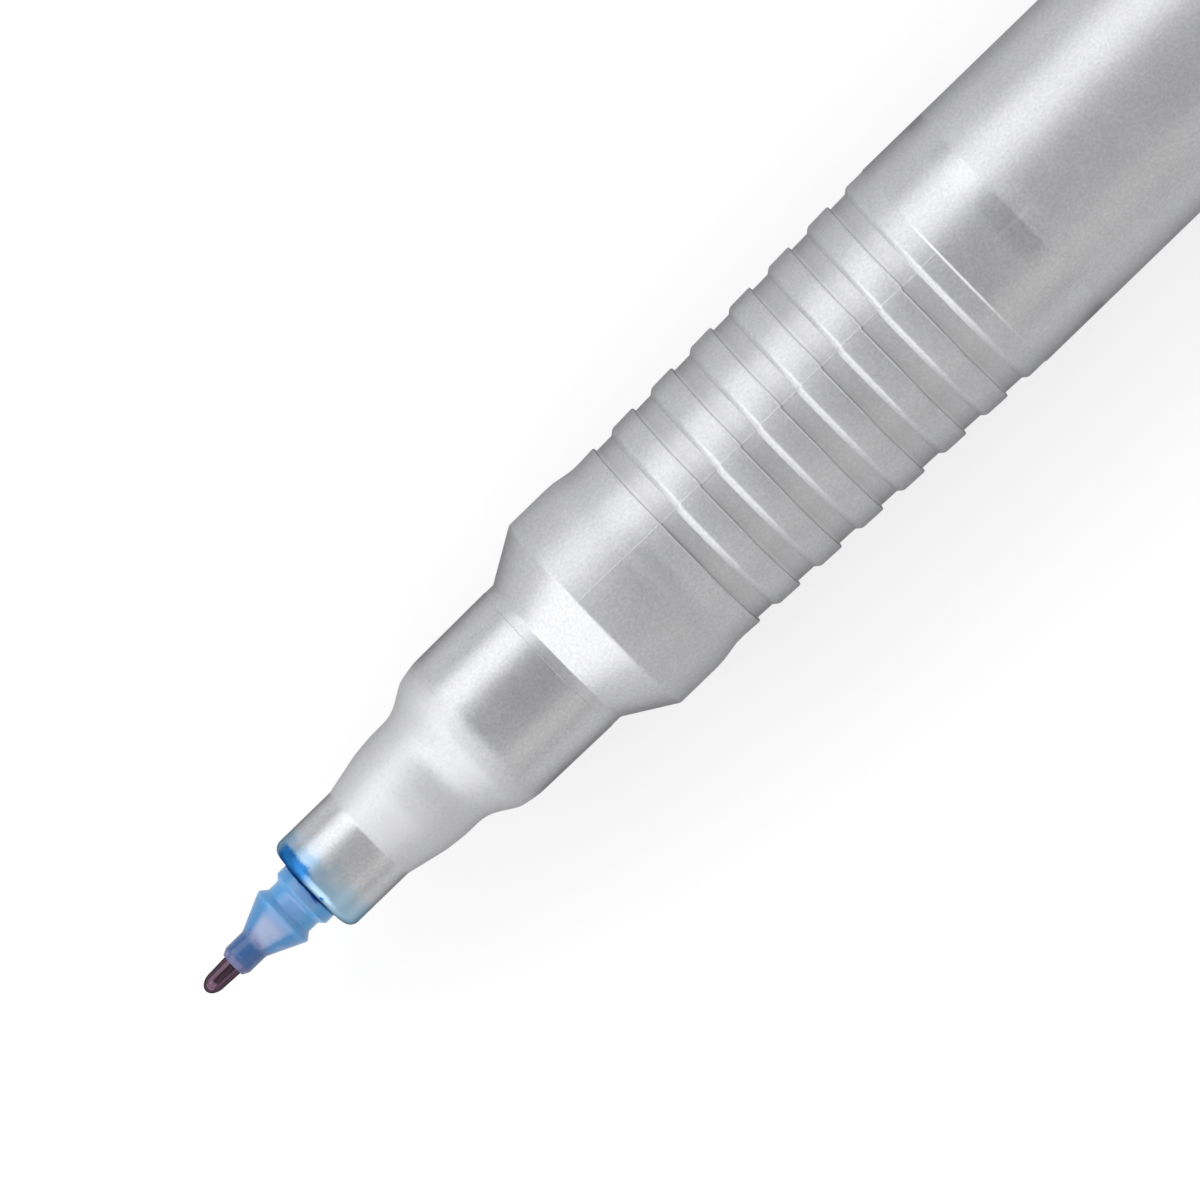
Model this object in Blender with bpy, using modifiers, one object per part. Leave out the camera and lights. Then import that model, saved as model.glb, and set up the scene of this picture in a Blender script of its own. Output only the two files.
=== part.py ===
"""Fine-tip permanent marker with its pull-off cap posted on the rear end.

Metres, +Z up. The marker lies along X on the plane z = 0, with its writing tip
towards +X and its cap's flat end towards -X, and it leans on the cap's clip.
The origin is on that plane, below the middle of the whole marker.
"""
from math import asin, atan2, cos, hypot, pi, radians, sin

import bmesh
import bpy

MM = 0.001

# Clearances between pieces
PRESS_GAP = 0.05 * MM
SEAT_GAP = 0.05 * MM
LOOSE_GAP = 0.15 * MM

# Nib: a thin rod with a round writing end, pushed into the ink core
NIB_DIA = 0.85 * MM
NIB_POINT_DIA = 0.78 * MM
NIB_POINT_LENGTH = 0.58 * MM
NIB_EXPOSED = 1.43 * MM
NIB_BITE = 7.0 * MM

# Nib holder: a tapered plastic tube pressed into the barrel's nose
HOLDER_WALL = 0.175 * MM
HOLDER_TUBE_LENGTH = 1.13 * MM
HOLDER_TUBE_LEAD = 0.26 * MM
HOLDER_TUBE_EDGE = 0.13 * MM
HOLDER_CONE_LENGTH = 1.47 * MM
HOLDER_LIP_LENGTH = 0.08 * MM
HOLDER_LIP_SLOPE = 0.27 * MM
HOLDER_GROOVE_LENGTH = 0.48 * MM
HOLDER_GROOVE_DEPTH = 0.22 * MM
HOLDER_FLANGE_SLOPE = 0.20 * MM
HOLDER_FLANGE_LENGTH = 0.45 * MM
HOLDER_FLANGE_OVERLAP = 0.065 * MM
HOLDER_SPIGOT_LENGTH = 7.4 * MM
HOLDER_CHAMFER = 0.35 * MM

# Barrel: one moulding, from its nose to its open rear end
BARREL_DIA = 10.0 * MM
BARREL_WALL = 1.2 * MM
BARREL_BODY_LENGTH = 77.4 * MM
BARREL_END_CHAMFER = 0.25 * MM
NOSE_DIA = 4.245 * MM
NOSE_WALL = 0.87 * MM
NOSE_ROUND = 0.72 * MM
NOSE_LENGTH = 2.94 * MM
TAPER_LENGTH = 1.8 * MM
TAPER_RISE = 0.378 * MM
WAIST_EASE = 0.87 * MM
WAIST_DIA = 5.18 * MM
WAIST_LENGTH = 1.13 * MM
FLARE_LENGTH = 1.12 * MM
FLARE_RISE = 0.685 * MM
FLARE_EASE = 0.83 * MM
NECK_DRAFT = 0.045 * MM
NECK_LENGTH = 4.25 * MM
NECK_WALL = 1.05 * MM
SHOULDER_RISE = 1.185 * MM
SHOULDER_LENGTH = 2.0 * MM
RING_RISE = 0.16 * MM
RING_LENGTH = 2.3 * MM
DIP_LENGTH = 0.82 * MM
DIP_DROP = 0.185 * MM
SOFT_CORNER = 0.38 * MM
GROOVE_COUNT = 7
GRIP_FIRST_BAND = 1.18 * MM
GRIP_PITCH = 2.113 * MM
GRIP_TAPER = 0.93 * MM
GROOVE_WIDTH = 1.05 * MM
GROOVE_DEPTH = 0.165 * MM
GROOVE_FRONT_SLOPE = 0.06 * MM
GROOVE_REAR_SLOPE = 0.20 * MM
COLLAR_LENGTH = 0.773 * MM
COLLAR_STEP = 0.035 * MM
CORE_STEP_INSET = 0.34 * MM
THROAT_LENGTH = 1.9 * MM

# Reservoir: a fibre core in a film sleeve
WRAP_WALL = 0.15 * MM

# Rear plug: closes the barrel, and carries the cap while the marker is in use
PLUG_WALL = 0.9 * MM
PLUG_SPIGOT_LENGTH = 11.0 * MM
PLUG_CHAMFER = 0.5 * MM
PLUG_FLANGE_LENGTH = 1.2 * MM
PLUG_FLANGE_ROUND = 0.3 * MM
POST_LENGTH = 6.5 * MM
POST_ROUND = 0.7 * MM
POST_END_WALL = 1.2 * MM

# Cap: outer shell with a moulded clip, and an inner sealing cup
LINER_WALL = 0.42 * MM
LINER_END_WALL = 0.8 * MM
LINER_LEAD = 0.6 * MM
NIB_ROOM = 1.5 * MM
CAP_WALL = 0.96 * MM
CAP_MOUTH_FLARE = 0.5 * MM
CAP_RIM_LENGTH = 3.0 * MM
CAP_RIM_ROUND = 0.2 * MM
CAP_RIM_STEP = 0.12 * MM
CAP_DRAFT = 0.33 * MM
CAP_TAIL_LENGTH = 11.4 * MM
CAP_TAIL_WALL = 1.25 * MM
CAP_END_WALL = 1.4 * MM
CAP_END_ROUND = 0.8 * MM
CLIP_LENGTH = 27.0 * MM
CLIP_WIDTH = 4.0 * MM
CLIP_THICKNESS = 1.3 * MM
CLIP_GAP = 1.1 * MM
CLIP_ROOT_LENGTH = 3.4 * MM
CLIP_ROOT_SINK = 0.45 * MM
CLIP_ROOT_INSET = 0.9 * MM
CLIP_EDGE = 0.25 * MM
CLIP_CORNER = 0.9 * MM
CLIP_BUMP_LENGTH = 3.6 * MM
CLIP_BUMP_CLEAR = 0.35 * MM
CLIP_NOSE = 0.6 * MM

# Facets round the axis, and steps along a rounded corner
FACETS = 40
FINE_FACETS = 20
CORNER_STEPS = 3
SOFT_LIMIT = 0.48
SHARP_ANGLE = radians(30)
CLIP_EDGE_ANGLE = radians(60)
AXIS_MERGE = 1e-6

# Diameters that follow from the sizes above
BARREL_BORE = BARREL_DIA - 2 * BARREL_WALL
GRIP_FRONT_DIA = BARREL_DIA - GRIP_TAPER - 2 * COLLAR_STEP
RING_DIA = GRIP_FRONT_DIA + 2 * RING_RISE
NECK_DIA = RING_DIA - 2 * SHOULDER_RISE
NECK_BORE = NECK_DIA - 2 * NECK_WALL
NOSE_BORE = NOSE_DIA - 2 * NOSE_WALL
NIB_HOLE = NIB_DIA + 2 * PRESS_GAP
HOLDER_TUBE_DIA = NIB_HOLE + 2 * HOLDER_WALL
HOLDER_SPIGOT_DIA = NOSE_BORE - 2 * PRESS_GAP
HOLDER_FLANGE_DIA = NOSE_BORE + 2 * HOLDER_FLANGE_OVERLAP
HOLDER_GROOVE_DIA = HOLDER_FLANGE_DIA - 2 * HOLDER_GROOVE_DEPTH
WRAP_DIA = BARREL_BORE - 2 * LOOSE_GAP
CORE_DIA = WRAP_DIA - 2 * WRAP_WALL - 2 * PRESS_GAP
PLUG_SPIGOT_DIA = BARREL_BORE - 2 * PRESS_GAP
LINER_BORE = NECK_DIA + 2 * PRESS_GAP
LINER_DIA = LINER_BORE + 2 * LINER_WALL
CAP_BORE = LINER_DIA + 2 * PRESS_GAP
CAP_DIA = CAP_BORE + 2 * CAP_WALL
CAP_BODY_DIA = CAP_DIA - 2 * CAP_RIM_STEP
CAP_END_DIA = CAP_BODY_DIA - 2 * CAP_DRAFT
CAP_TAIL_BORE = CAP_END_DIA - 2 * CAP_TAIL_WALL

# Places along the pen, measured from the nib's point towards the rear
HOLDER_FRONT = NIB_EXPOSED
HOLDER_CONE = HOLDER_FRONT + HOLDER_TUBE_LENGTH
HOLDER_LIP = HOLDER_CONE + HOLDER_CONE_LENGTH
HOLDER_LIP_REAR = HOLDER_LIP + HOLDER_LIP_LENGTH
HOLDER_GROOVE = HOLDER_LIP_REAR + HOLDER_LIP_SLOPE
HOLDER_GROOVE_REAR = HOLDER_GROOVE + HOLDER_GROOVE_LENGTH
HOLDER_FLANGE = HOLDER_GROOVE_REAR + HOLDER_FLANGE_SLOPE
HOLDER_SPIGOT = HOLDER_FLANGE + HOLDER_FLANGE_LENGTH
HOLDER_REAR = HOLDER_SPIGOT + HOLDER_SPIGOT_LENGTH
NOSE_FRONT = HOLDER_SPIGOT + SEAT_GAP
TAPER_START = NOSE_FRONT + NOSE_LENGTH
TAPER_END = TAPER_START + TAPER_LENGTH
WAIST_START = TAPER_END + WAIST_EASE
FLARE_START = WAIST_START + WAIST_LENGTH
FLARE_END = FLARE_START + FLARE_LENGTH
NECK_START = FLARE_END + FLARE_EASE
SHOULDER_START = NECK_START + NECK_LENGTH
RING_START = SHOULDER_START + SHOULDER_LENGTH
DIP_START = RING_START + RING_LENGTH
GRIP_START = DIP_START + DIP_LENGTH
FIRST_GROOVE = GRIP_START + GRIP_FIRST_BAND
COLLAR_START = FIRST_GROOVE + (GROOVE_COUNT - 1) * GRIP_PITCH + GROOVE_WIDTH
BODY_START = COLLAR_START + COLLAR_LENGTH
BARREL_REAR = BODY_START + BARREL_BODY_LENGTH
CORE_STEP = GRIP_START + CORE_STEP_INSET
CORE_FRONT = CORE_STEP + SEAT_GAP
NIB_REAR = CORE_FRONT + NIB_BITE
PLUG_FRONT = BARREL_REAR - PLUG_SPIGOT_LENGTH
CORE_REAR = PLUG_FRONT - SEAT_GAP
FLANGE_START = BARREL_REAR + SEAT_GAP
POST_START = FLANGE_START + PLUG_FLANGE_LENGTH
POST_END = POST_START + POST_LENGTH
CAP_RIM = POST_START + SEAT_GAP

# Depths in the cap, measured from its rim. Closed, its mouth rests on the shoulder.
MOUTH_DIA = CAP_BORE + 2 * CAP_MOUTH_FLARE
SHOULDER_SLOPE = SHOULDER_LENGTH / SHOULDER_RISE
LINER_FRONT = CAP_MOUTH_FLARE * SHOULDER_SLOPE
CLOSED_RIM = SHOULDER_START + (MOUTH_DIA - NECK_DIA) / 2 * SHOULDER_SLOPE
LINER_FLOOR = CLOSED_RIM + NIB_ROOM
LINER_REAR = LINER_FLOOR + LINER_END_WALL
CAP_LEDGE = LINER_REAR + SEAT_GAP
CAP_END = CAP_LEDGE + CAP_TAIL_LENGTH
CLIP_REAR = CAP_END - CLIP_ROOT_INSET
CLIP_FRONT = CLIP_REAR - CLIP_LENGTH

# Radii of the clip's faces, and how far the clip turns down to touch the ground
CLIP_INNER = CAP_DIA / 2 + CLIP_GAP
CLIP_OUTER = CLIP_INNER + CLIP_THICKNESS
CLIP_BUMP = CAP_DIA / 2 + CLIP_BUMP_CLEAR
HALF_FACET = pi / FACETS
AXIS_HEIGHT = max(BARREL_DIA, CAP_DIA) / 2 * cos(HALF_FACET)
CLIP_FLANK = CLIP_OUTER - CLIP_EDGE
CLIP_DROOP = asin(AXIS_HEIGHT / hypot(CLIP_FLANK, CLIP_WIDTH / 2)) - atan2(CLIP_WIDTH / 2, CLIP_FLANK)
CLIP_REACH = CLIP_OUTER * cos(CLIP_DROOP) + (CLIP_WIDTH / 2 - CLIP_EDGE) * sin(CLIP_DROOP)

# The axis stands so that the whole marker is centred over the origin
AXIS_SIDE = (CLIP_REACH - AXIS_HEIGHT) / 2
POINT_AT = (CAP_RIM + CAP_END) / 2

# Colours in linear light
PEARL_GREY = (0.39, 0.39, 0.40)
INK_BLUE = (0.006, 0.09, 0.36)
PALE_BLUE = (0.15, 0.28, 0.47)
NIB_VIOLET = (0.03, 0.018, 0.027)
FIBRE_BLUE = (0.10, 0.20, 0.45)
FILM_GREY = (0.62, 0.66, 0.70)
NATURAL_WHITE = (0.75, 0.76, 0.74)


def clear_scene():
    """Remove every object, so that the script can run again."""
    for obj in list(bpy.data.objects):
        bpy.data.objects.remove(obj, do_unlink=True)


def plastic(name, colour, roughness, metallic=0.0):
    """Principled material of one colour."""
    material = bpy.data.materials.new(name)
    material.use_nodes = True
    shader = material.node_tree.nodes["Principled BSDF"]
    shader.inputs["Base Color"].default_value = (*colour, 1.0)
    shader.inputs["Roughness"].default_value = roughness
    shader.inputs["Metallic"].default_value = metallic
    material.diffuse_color = (*colour, 1.0)
    return material


def rounded(start, end, axial_first, steps=CORNER_STEPS):
    """Quarter ellipse between two (place, radius) points, both included."""
    points = []
    for step in range(steps + 1):
        turn = pi / 2 * step / steps
        late = 1 - cos(turn)
        early = sin(turn)
        along, across = (early, late) if axial_first else (late, early)
        place = start[0] + (end[0] - start[0]) * along
        radius = start[1] + (end[1] - start[1]) * across
        points.append((place, radius))
    return points


def beside(corner, other, reach):
    """Point at some reach from a corner, less than half the way to another one."""
    share = min(reach / hypot(other[0] - corner[0], other[1] - corner[1]), SOFT_LIMIT)
    return tuple(here + (there - here) * share for here, there in zip(corner, other))


def softened(corners, reach=SOFT_CORNER, steps=CORNER_STEPS):
    """Run of (place, radius) corners, with every inner one eased over a reach to both sides."""
    points = [corners[0]]
    for before, corner, after in zip(corners, corners[1:], corners[2:]):
        start = beside(corner, before, reach)
        end = beside(corner, after, reach)
        for step in range(steps + 1):
            late = step / steps
            early = 1 - late
            weights = (early * early, 2 * early * late, late * late)
            places = zip(start, corner, end)
            points.append(tuple(sum(w * part for w, part in zip(weights, parts)) for parts in places))
    points.append(corners[-1])
    return points


def bake(obj):
    """Replace an object's data by the plain mesh that it evaluates to."""
    bpy.context.view_layer.update()
    depsgraph = bpy.context.evaluated_depsgraph_get()
    mesh = bpy.data.meshes.new_from_object(obj.evaluated_get(depsgraph))
    mesh.name = obj.name
    obj.modifiers.clear()
    obj.data = mesh


def turned(name, profile, closed, material, parent, facets=FACETS):
    """Round piece: a profile of (place, radius) points, turned about the axis.

    The profile runs along the outer side from the tip end to the rear end.
    A closed profile comes back along a bore, an open one starts and ends on the axis.
    """
    mesh = bpy.data.meshes.new(name)
    outline = bmesh.new()
    verts = [outline.verts.new((radius, 0.0, -place)) for place, radius in profile]
    for first, second in zip(verts, verts[1:]):
        outline.edges.new((first, second))
    if closed:
        outline.edges.new((verts[-1], verts[0]))
    outline.to_mesh(mesh)
    outline.free()
    obj = bpy.data.objects.new(name, mesh)
    PARTS.objects.link(obj)
    obj.parent = parent
    obj.rotation_euler[2] = pi / facets
    screw = obj.modifiers.new("turn", "SCREW")
    screw.steps = facets
    screw.render_steps = facets
    screw.use_merge_vertices = True
    screw.merge_threshold = AXIS_MERGE
    bake(obj)
    finish(obj, material)
    return obj


def finish(obj, material):
    """Give a piece its material and smooth shading between sharp edges."""
    obj.data.materials.clear()
    obj.data.materials.append(material)
    obj.data.shade_smooth()
    obj.data.set_sharp_from_angle(angle=SHARP_ANGLE)


def make_nib(parent):
    """Rod with a rounded point, from the writing end into the ink core."""
    point_radius = NIB_POINT_DIA / 2
    profile = rounded((0.0, 0.0), (NIB_POINT_LENGTH, point_radius), axial_first=False)
    profile += [
        (HOLDER_FRONT, NIB_DIA / 2),
        (NIB_REAR, NIB_DIA / 2),
        (NIB_REAR, 0.0),
    ]
    fibre = plastic("nib", NIB_VIOLET, 0.35)
    return turned("nib", profile, False, fibre, parent, FINE_FACETS)


def make_nib_holder(parent):
    """Stepped tube: front tube, cone, groove, flange, and spigot in the nose."""
    tube = HOLDER_TUBE_DIA / 2
    flange = HOLDER_FLANGE_DIA / 2
    groove = HOLDER_GROOVE_DIA / 2
    spigot = HOLDER_SPIGOT_DIA / 2
    profile = [(HOLDER_FRONT, NIB_HOLE / 2)]
    rim = (HOLDER_FRONT, tube - HOLDER_TUBE_EDGE)
    profile += rounded(rim, (HOLDER_FRONT + HOLDER_TUBE_LEAD, tube), axial_first=False)
    profile += [
        (HOLDER_CONE, tube),
        (HOLDER_LIP, flange),
        (HOLDER_LIP_REAR, flange),
        (HOLDER_GROOVE, groove),
        (HOLDER_GROOVE_REAR, groove),
        (HOLDER_FLANGE, flange),
        (HOLDER_SPIGOT, flange),
        (HOLDER_SPIGOT, spigot),
        (HOLDER_REAR - HOLDER_CHAMFER, spigot),
        (HOLDER_REAR, spigot - HOLDER_CHAMFER),
        (HOLDER_REAR, NIB_HOLE / 2),
    ]
    clear_plastic = plastic("nib_holder", PALE_BLUE, 0.22)
    return turned("nib_holder", profile, True, clear_plastic, parent, FINE_FACETS)


def grip_radius(place):
    """Radius of the cone that the grip bands lie on."""
    share = (place - GRIP_START) / (COLLAR_START - GRIP_START)
    return (GRIP_FRONT_DIA + GRIP_TAPER * share) / 2


def grip_grooves():
    """Profile points of the grooves that part the grip into bands."""
    points = []
    for groove in range(GROOVE_COUNT):
        start = FIRST_GROOVE + groove * GRIP_PITCH
        end = start + GROOVE_WIDTH
        floor_start = start + GROOVE_FRONT_SLOPE
        floor_end = end - GROOVE_REAR_SLOPE
        points += [
            (start, grip_radius(start)),
            (floor_start, grip_radius(floor_start) - GROOVE_DEPTH),
            (floor_end, grip_radius(floor_end) - GROOVE_DEPTH),
            (end, grip_radius(end)),
        ]
    return points


def barrel_outside():
    """Outer profile from the nose's face to the open rear end."""
    nose = NOSE_DIA / 2
    waist = WAIST_DIA / 2
    neck = NECK_DIA / 2
    ring = RING_DIA / 2
    body = BARREL_DIA / 2
    rim_end = (NOSE_FRONT + NOSE_ROUND, nose)
    grooves = grip_grooves()
    points = rounded((NOSE_FRONT, nose - NOSE_ROUND), rim_end, axial_first=False)[:-1]
    front = [
        rim_end,
        (TAPER_START, nose),
        (TAPER_END, nose + TAPER_RISE),
        (WAIST_START, waist),
        (FLARE_START, waist),
        (FLARE_END, waist + FLARE_RISE),
        (NECK_START, neck - NECK_DRAFT),
        (SHOULDER_START, neck),
    ]
    points += softened(front)
    ring_to_grip = [
        (RING_START, ring),
        (DIP_START, ring),
        (GRIP_START, ring - DIP_DROP),
        grooves[0],
    ]
    points += softened(ring_to_grip)[:-1]
    points += grooves
    points += [
        (BODY_START, body - COLLAR_STEP),
        (BODY_START + COLLAR_STEP, body),
        (BARREL_REAR - BARREL_END_CHAMFER, body),
        (BARREL_REAR, body - BARREL_END_CHAMFER),
    ]
    return points


def barrel_inside():
    """Bore from the rear end to the nose: reservoir chamber, throat, holder seat."""
    bore = BARREL_BORE / 2
    throat = NECK_BORE / 2
    seat = NOSE_BORE / 2
    seat_end = HOLDER_REAR + SEAT_GAP
    return [
        (BARREL_REAR, bore),
        (CORE_STEP, bore),
        (CORE_STEP, throat),
        (seat_end + THROAT_LENGTH, throat),
        (seat_end, seat),
        (NOSE_FRONT, seat),
    ]


def make_barrel(parent):
    """Hollow moulded barrel with nose, neck, shoulder and banded grip."""
    profile = barrel_outside() + barrel_inside()
    pearl = plastic("barrel", PEARL_GREY, 0.42, 0.9)
    return turned("barrel", profile, True, pearl, parent)


def make_ink_core(parent):
    """Fibre reservoir with a blind hole for the nib."""
    core = CORE_DIA / 2
    hole = NIB_HOLE / 2
    hole_end = NIB_REAR + SEAT_GAP
    profile = [
        (hole_end, 0.0),
        (hole_end, hole),
        (CORE_FRONT, hole),
        (CORE_FRONT, core),
        (CORE_REAR, core),
        (CORE_REAR, 0.0),
    ]
    fibre = plastic("ink_core", FIBRE_BLUE, 0.85)
    return turned("ink_core", profile, False, fibre, parent)


def make_core_wrap(parent):
    """Thin film sleeve round the fibre core, open at both ends."""
    outer = WRAP_DIA / 2
    inner = outer - WRAP_WALL
    profile = [
        (CORE_FRONT, inner),
        (CORE_FRONT, outer),
        (CORE_REAR, outer),
        (CORE_REAR, inner),
    ]
    film = plastic("core_wrap", FILM_GREY, 0.25)
    return turned("core_wrap", profile, True, film, parent)


def make_rear_plug(parent):
    """Hollow plug: spigot in the barrel, flange, and the post that holds the cap."""
    spigot = PLUG_SPIGOT_DIA / 2
    flange = CAP_DIA / 2
    post = NECK_DIA / 2
    hollow = min(spigot, post) - PLUG_WALL
    hollow_end = POST_END - POST_END_WALL
    profile = [
        (hollow_end, 0.0),
        (hollow_end, hollow),
        (PLUG_FRONT, hollow),
        (PLUG_FRONT, spigot - PLUG_CHAMFER),
        (PLUG_FRONT + PLUG_CHAMFER, spigot),
        (FLANGE_START, spigot),
    ]
    front_edge = (FLANGE_START, flange - PLUG_FLANGE_ROUND)
    profile += rounded(front_edge, (FLANGE_START + PLUG_FLANGE_ROUND, flange), axial_first=False)
    rear_edge = (POST_START - PLUG_FLANGE_ROUND, flange)
    profile += rounded(rear_edge, (POST_START, flange - PLUG_FLANGE_ROUND), axial_first=True)
    profile.append((POST_START, post))
    profile += rounded((POST_END - POST_ROUND, post), (POST_END, post - POST_ROUND), axial_first=True)
    profile.append((POST_END, 0.0))
    blue = plastic("rear_plug", INK_BLUE, 0.3)
    return turned("rear_plug", profile, False, blue, parent)


def clip_outline():
    """Side view of the clip as (depth, radius) points, root first."""
    root_radius = CAP_END_DIA / 2 - CLIP_ROOT_SINK
    root_front = CLIP_REAR - CLIP_ROOT_LENGTH
    bump_middle = CLIP_FRONT + CLIP_NOSE + CLIP_BUMP_LENGTH / 2
    points = [(CLIP_REAR, root_radius)]
    outer_corner = (CLIP_REAR, CLIP_OUTER - CLIP_CORNER)
    points += rounded(outer_corner, (CLIP_REAR - CLIP_CORNER, CLIP_OUTER), axial_first=False)
    nose_corner = (CLIP_FRONT + CLIP_NOSE, CLIP_OUTER)
    points += rounded(nose_corner, (CLIP_FRONT, CLIP_OUTER - CLIP_NOSE), axial_first=True)
    points += rounded((CLIP_FRONT, CLIP_INNER), (bump_middle, CLIP_BUMP), axial_first=False)
    bump_end = CLIP_FRONT + CLIP_NOSE + CLIP_BUMP_LENGTH
    points += rounded((bump_middle, CLIP_BUMP), (bump_end, CLIP_INNER), axial_first=True)[1:]
    inner_corner = (root_front - CLIP_CORNER, CLIP_INNER)
    points += rounded(inner_corner, (root_front, CLIP_INNER - CLIP_CORNER), axial_first=True)
    points.append((root_front, root_radius))
    return points


def make_clip(parent):
    """Clip solid: its side outline as a flat curve with thickness, edges rounded."""
    curve = bpy.data.curves.new("clip", "CURVE")
    curve.dimensions = "2D"
    curve.fill_mode = "BOTH"
    curve.extrude = CLIP_WIDTH / 2
    spline = curve.splines.new("POLY")
    outline = clip_outline()
    spline.points.add(len(outline) - 1)
    for point, (depth, radius) in zip(spline.points, outline):
        point.co = (radius, -depth, 0.0, 1.0)
    spline.use_cyclic_u = True
    flat = bpy.data.objects.new("clip_outline", curve)
    PARTS.objects.link(flat)
    bpy.context.view_layer.update()
    mesh = bpy.data.meshes.new_from_object(flat.evaluated_get(bpy.context.evaluated_depsgraph_get()))
    bpy.data.objects.remove(flat)
    shell = bmesh.new()
    shell.from_mesh(mesh)
    bmesh.ops.remove_doubles(shell, verts=shell.verts, dist=AXIS_MERGE)
    bmesh.ops.recalc_face_normals(shell, faces=shell.faces)
    shell.to_mesh(mesh)
    shell.free()
    clip = bpy.data.objects.new("clip", mesh)
    PARTS.objects.link(clip)
    clip.parent = parent
    clip.rotation_euler = (pi / 2, 0.0, CLIP_DROOP - pi / 2)
    bevel = clip.modifiers.new("edge", "BEVEL")
    bevel.width = CLIP_EDGE
    bevel.segments = 1
    bevel.limit_method = "ANGLE"
    bevel.angle_limit = CLIP_EDGE_ANGLE
    bevel.use_clamp_overlap = False
    bake(clip)
    return clip


def cap_profile():
    """Shell of the cap: rim band, drafted side, flat closed end, and stepped bore."""
    rim = CAP_DIA / 2
    body = CAP_BODY_DIA / 2
    end = CAP_END_DIA / 2
    profile = [(0.0, MOUTH_DIA / 2)]
    profile += rounded((0.0, rim - CAP_RIM_ROUND), (CAP_RIM_ROUND, rim), axial_first=False)
    profile += [
        (CAP_RIM_LENGTH, rim),
        (CAP_RIM_LENGTH + CAP_RIM_STEP, body),
    ]
    profile += rounded((CAP_END - CAP_END_ROUND, end), (CAP_END, end - CAP_END_ROUND), axial_first=True)
    profile.append((CAP_END, 0.0))
    inside = [
        (CAP_END - CAP_END_WALL, 0.0),
        (CAP_END - CAP_END_WALL, CAP_TAIL_BORE / 2),
        (CAP_LEDGE, CAP_TAIL_BORE / 2),
        (CAP_LEDGE, CAP_BORE / 2),
        (LINER_FRONT, CAP_BORE / 2),
    ]
    return inside + profile


def make_cap(parent):
    """Outer cap: shell and clip moulded in one."""
    blue = plastic("cap", INK_BLUE, 0.3)
    cap = turned("cap", cap_profile(), False, blue, parent)
    clip = make_clip(parent)
    union = cap.modifiers.new("clip", "BOOLEAN")
    union.operation = "UNION"
    union.solver = "EXACT"
    union.object = clip
    bake(cap)
    bpy.data.objects.remove(clip)
    finish(cap, blue)
    return cap


def make_cap_liner(parent):
    """Sealing cup inside the cap: fits the neck when closed, and the post in use."""
    bore = LINER_BORE / 2
    outer = LINER_DIA / 2
    profile = [
        (LINER_FLOOR, 0.0),
        (LINER_FLOOR, bore),
        (LINER_FRONT + LINER_LEAD, bore),
        (LINER_FRONT, outer - LINER_WALL / 2),
        (LINER_FRONT, outer),
        (LINER_REAR, outer),
        (LINER_REAR, 0.0),
    ]
    white = plastic("cap_liner", NATURAL_WHITE, 0.4)
    return turned("cap_liner", profile, False, white, parent)


def make_axis(name, parent=None):
    """Empty that carries the pieces of one moving body."""
    axis = bpy.data.objects.new(name, None)
    bpy.context.scene.collection.objects.link(axis)
    axis.parent = parent
    return axis


clear_scene()
PARTS = bpy.data.collections.new("permanent_marker")
bpy.context.scene.collection.children.link(PARTS)

pen_axis = make_axis("pen_axis")
pen_axis.location = (POINT_AT, AXIS_SIDE, AXIS_HEIGHT)
pen_axis.rotation_euler = (0.0, pi / 2, 0.0)
cap_axis = make_axis("cap_axis", pen_axis)
cap_axis.location = (0.0, 0.0, -CAP_RIM)

make_nib(pen_axis)
make_nib_holder(pen_axis)
make_barrel(pen_axis)
make_ink_core(pen_axis)
make_core_wrap(pen_axis)
make_rear_plug(pen_axis)
make_cap(cap_axis)
make_cap_liner(cap_axis)
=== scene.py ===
"""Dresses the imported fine-tip marker: turned shells, grip bands, clip, finishes and studio."""

from __future__ import annotations

import logging
import math
from dataclasses import dataclass, field
from enum import Enum
from typing import Any, Optional, Sequence, Union

import bmesh
import bpy
from mathutils import Matrix, Vector

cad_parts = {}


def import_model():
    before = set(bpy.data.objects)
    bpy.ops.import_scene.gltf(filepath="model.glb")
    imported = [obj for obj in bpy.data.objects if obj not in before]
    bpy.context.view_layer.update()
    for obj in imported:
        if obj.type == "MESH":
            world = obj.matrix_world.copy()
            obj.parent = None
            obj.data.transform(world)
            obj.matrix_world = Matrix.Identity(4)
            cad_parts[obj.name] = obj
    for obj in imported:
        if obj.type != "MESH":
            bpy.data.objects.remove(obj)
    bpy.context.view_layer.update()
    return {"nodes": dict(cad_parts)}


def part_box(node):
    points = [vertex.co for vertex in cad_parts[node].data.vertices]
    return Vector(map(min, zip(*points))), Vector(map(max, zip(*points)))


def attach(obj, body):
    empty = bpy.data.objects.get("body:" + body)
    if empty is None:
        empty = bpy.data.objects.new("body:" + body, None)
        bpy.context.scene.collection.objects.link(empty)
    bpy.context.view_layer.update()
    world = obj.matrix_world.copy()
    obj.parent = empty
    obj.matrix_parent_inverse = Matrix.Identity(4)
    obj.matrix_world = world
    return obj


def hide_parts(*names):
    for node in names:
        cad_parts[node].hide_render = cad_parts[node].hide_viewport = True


LOG = logging.getLogger("marker_scene")
MM = 0.001
MERGE = 1e-6
SHARP_ANGLE = math.radians(32.0)
FLAT_CORNER = math.radians(89.0)
FILLET_ROOM = 0.48

Colour = tuple[float, float, float]
Settings = dict[str, Any]
Inputs = dict[Union[str, int], Any]


class Body(Enum):
    """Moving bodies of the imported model."""

    PEN = "pen"
    CAP = "cap"


class Slot(Enum):
    """Material slots of the record, one for each finish of the new pieces."""

    BARREL = "barrel_pearl"
    NIB = "nib_fibre"
    HOLDER = "holder_plastic"
    BLUE = "blue_plastic"
    LINER = "liner_plastic"


# Node trees


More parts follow.
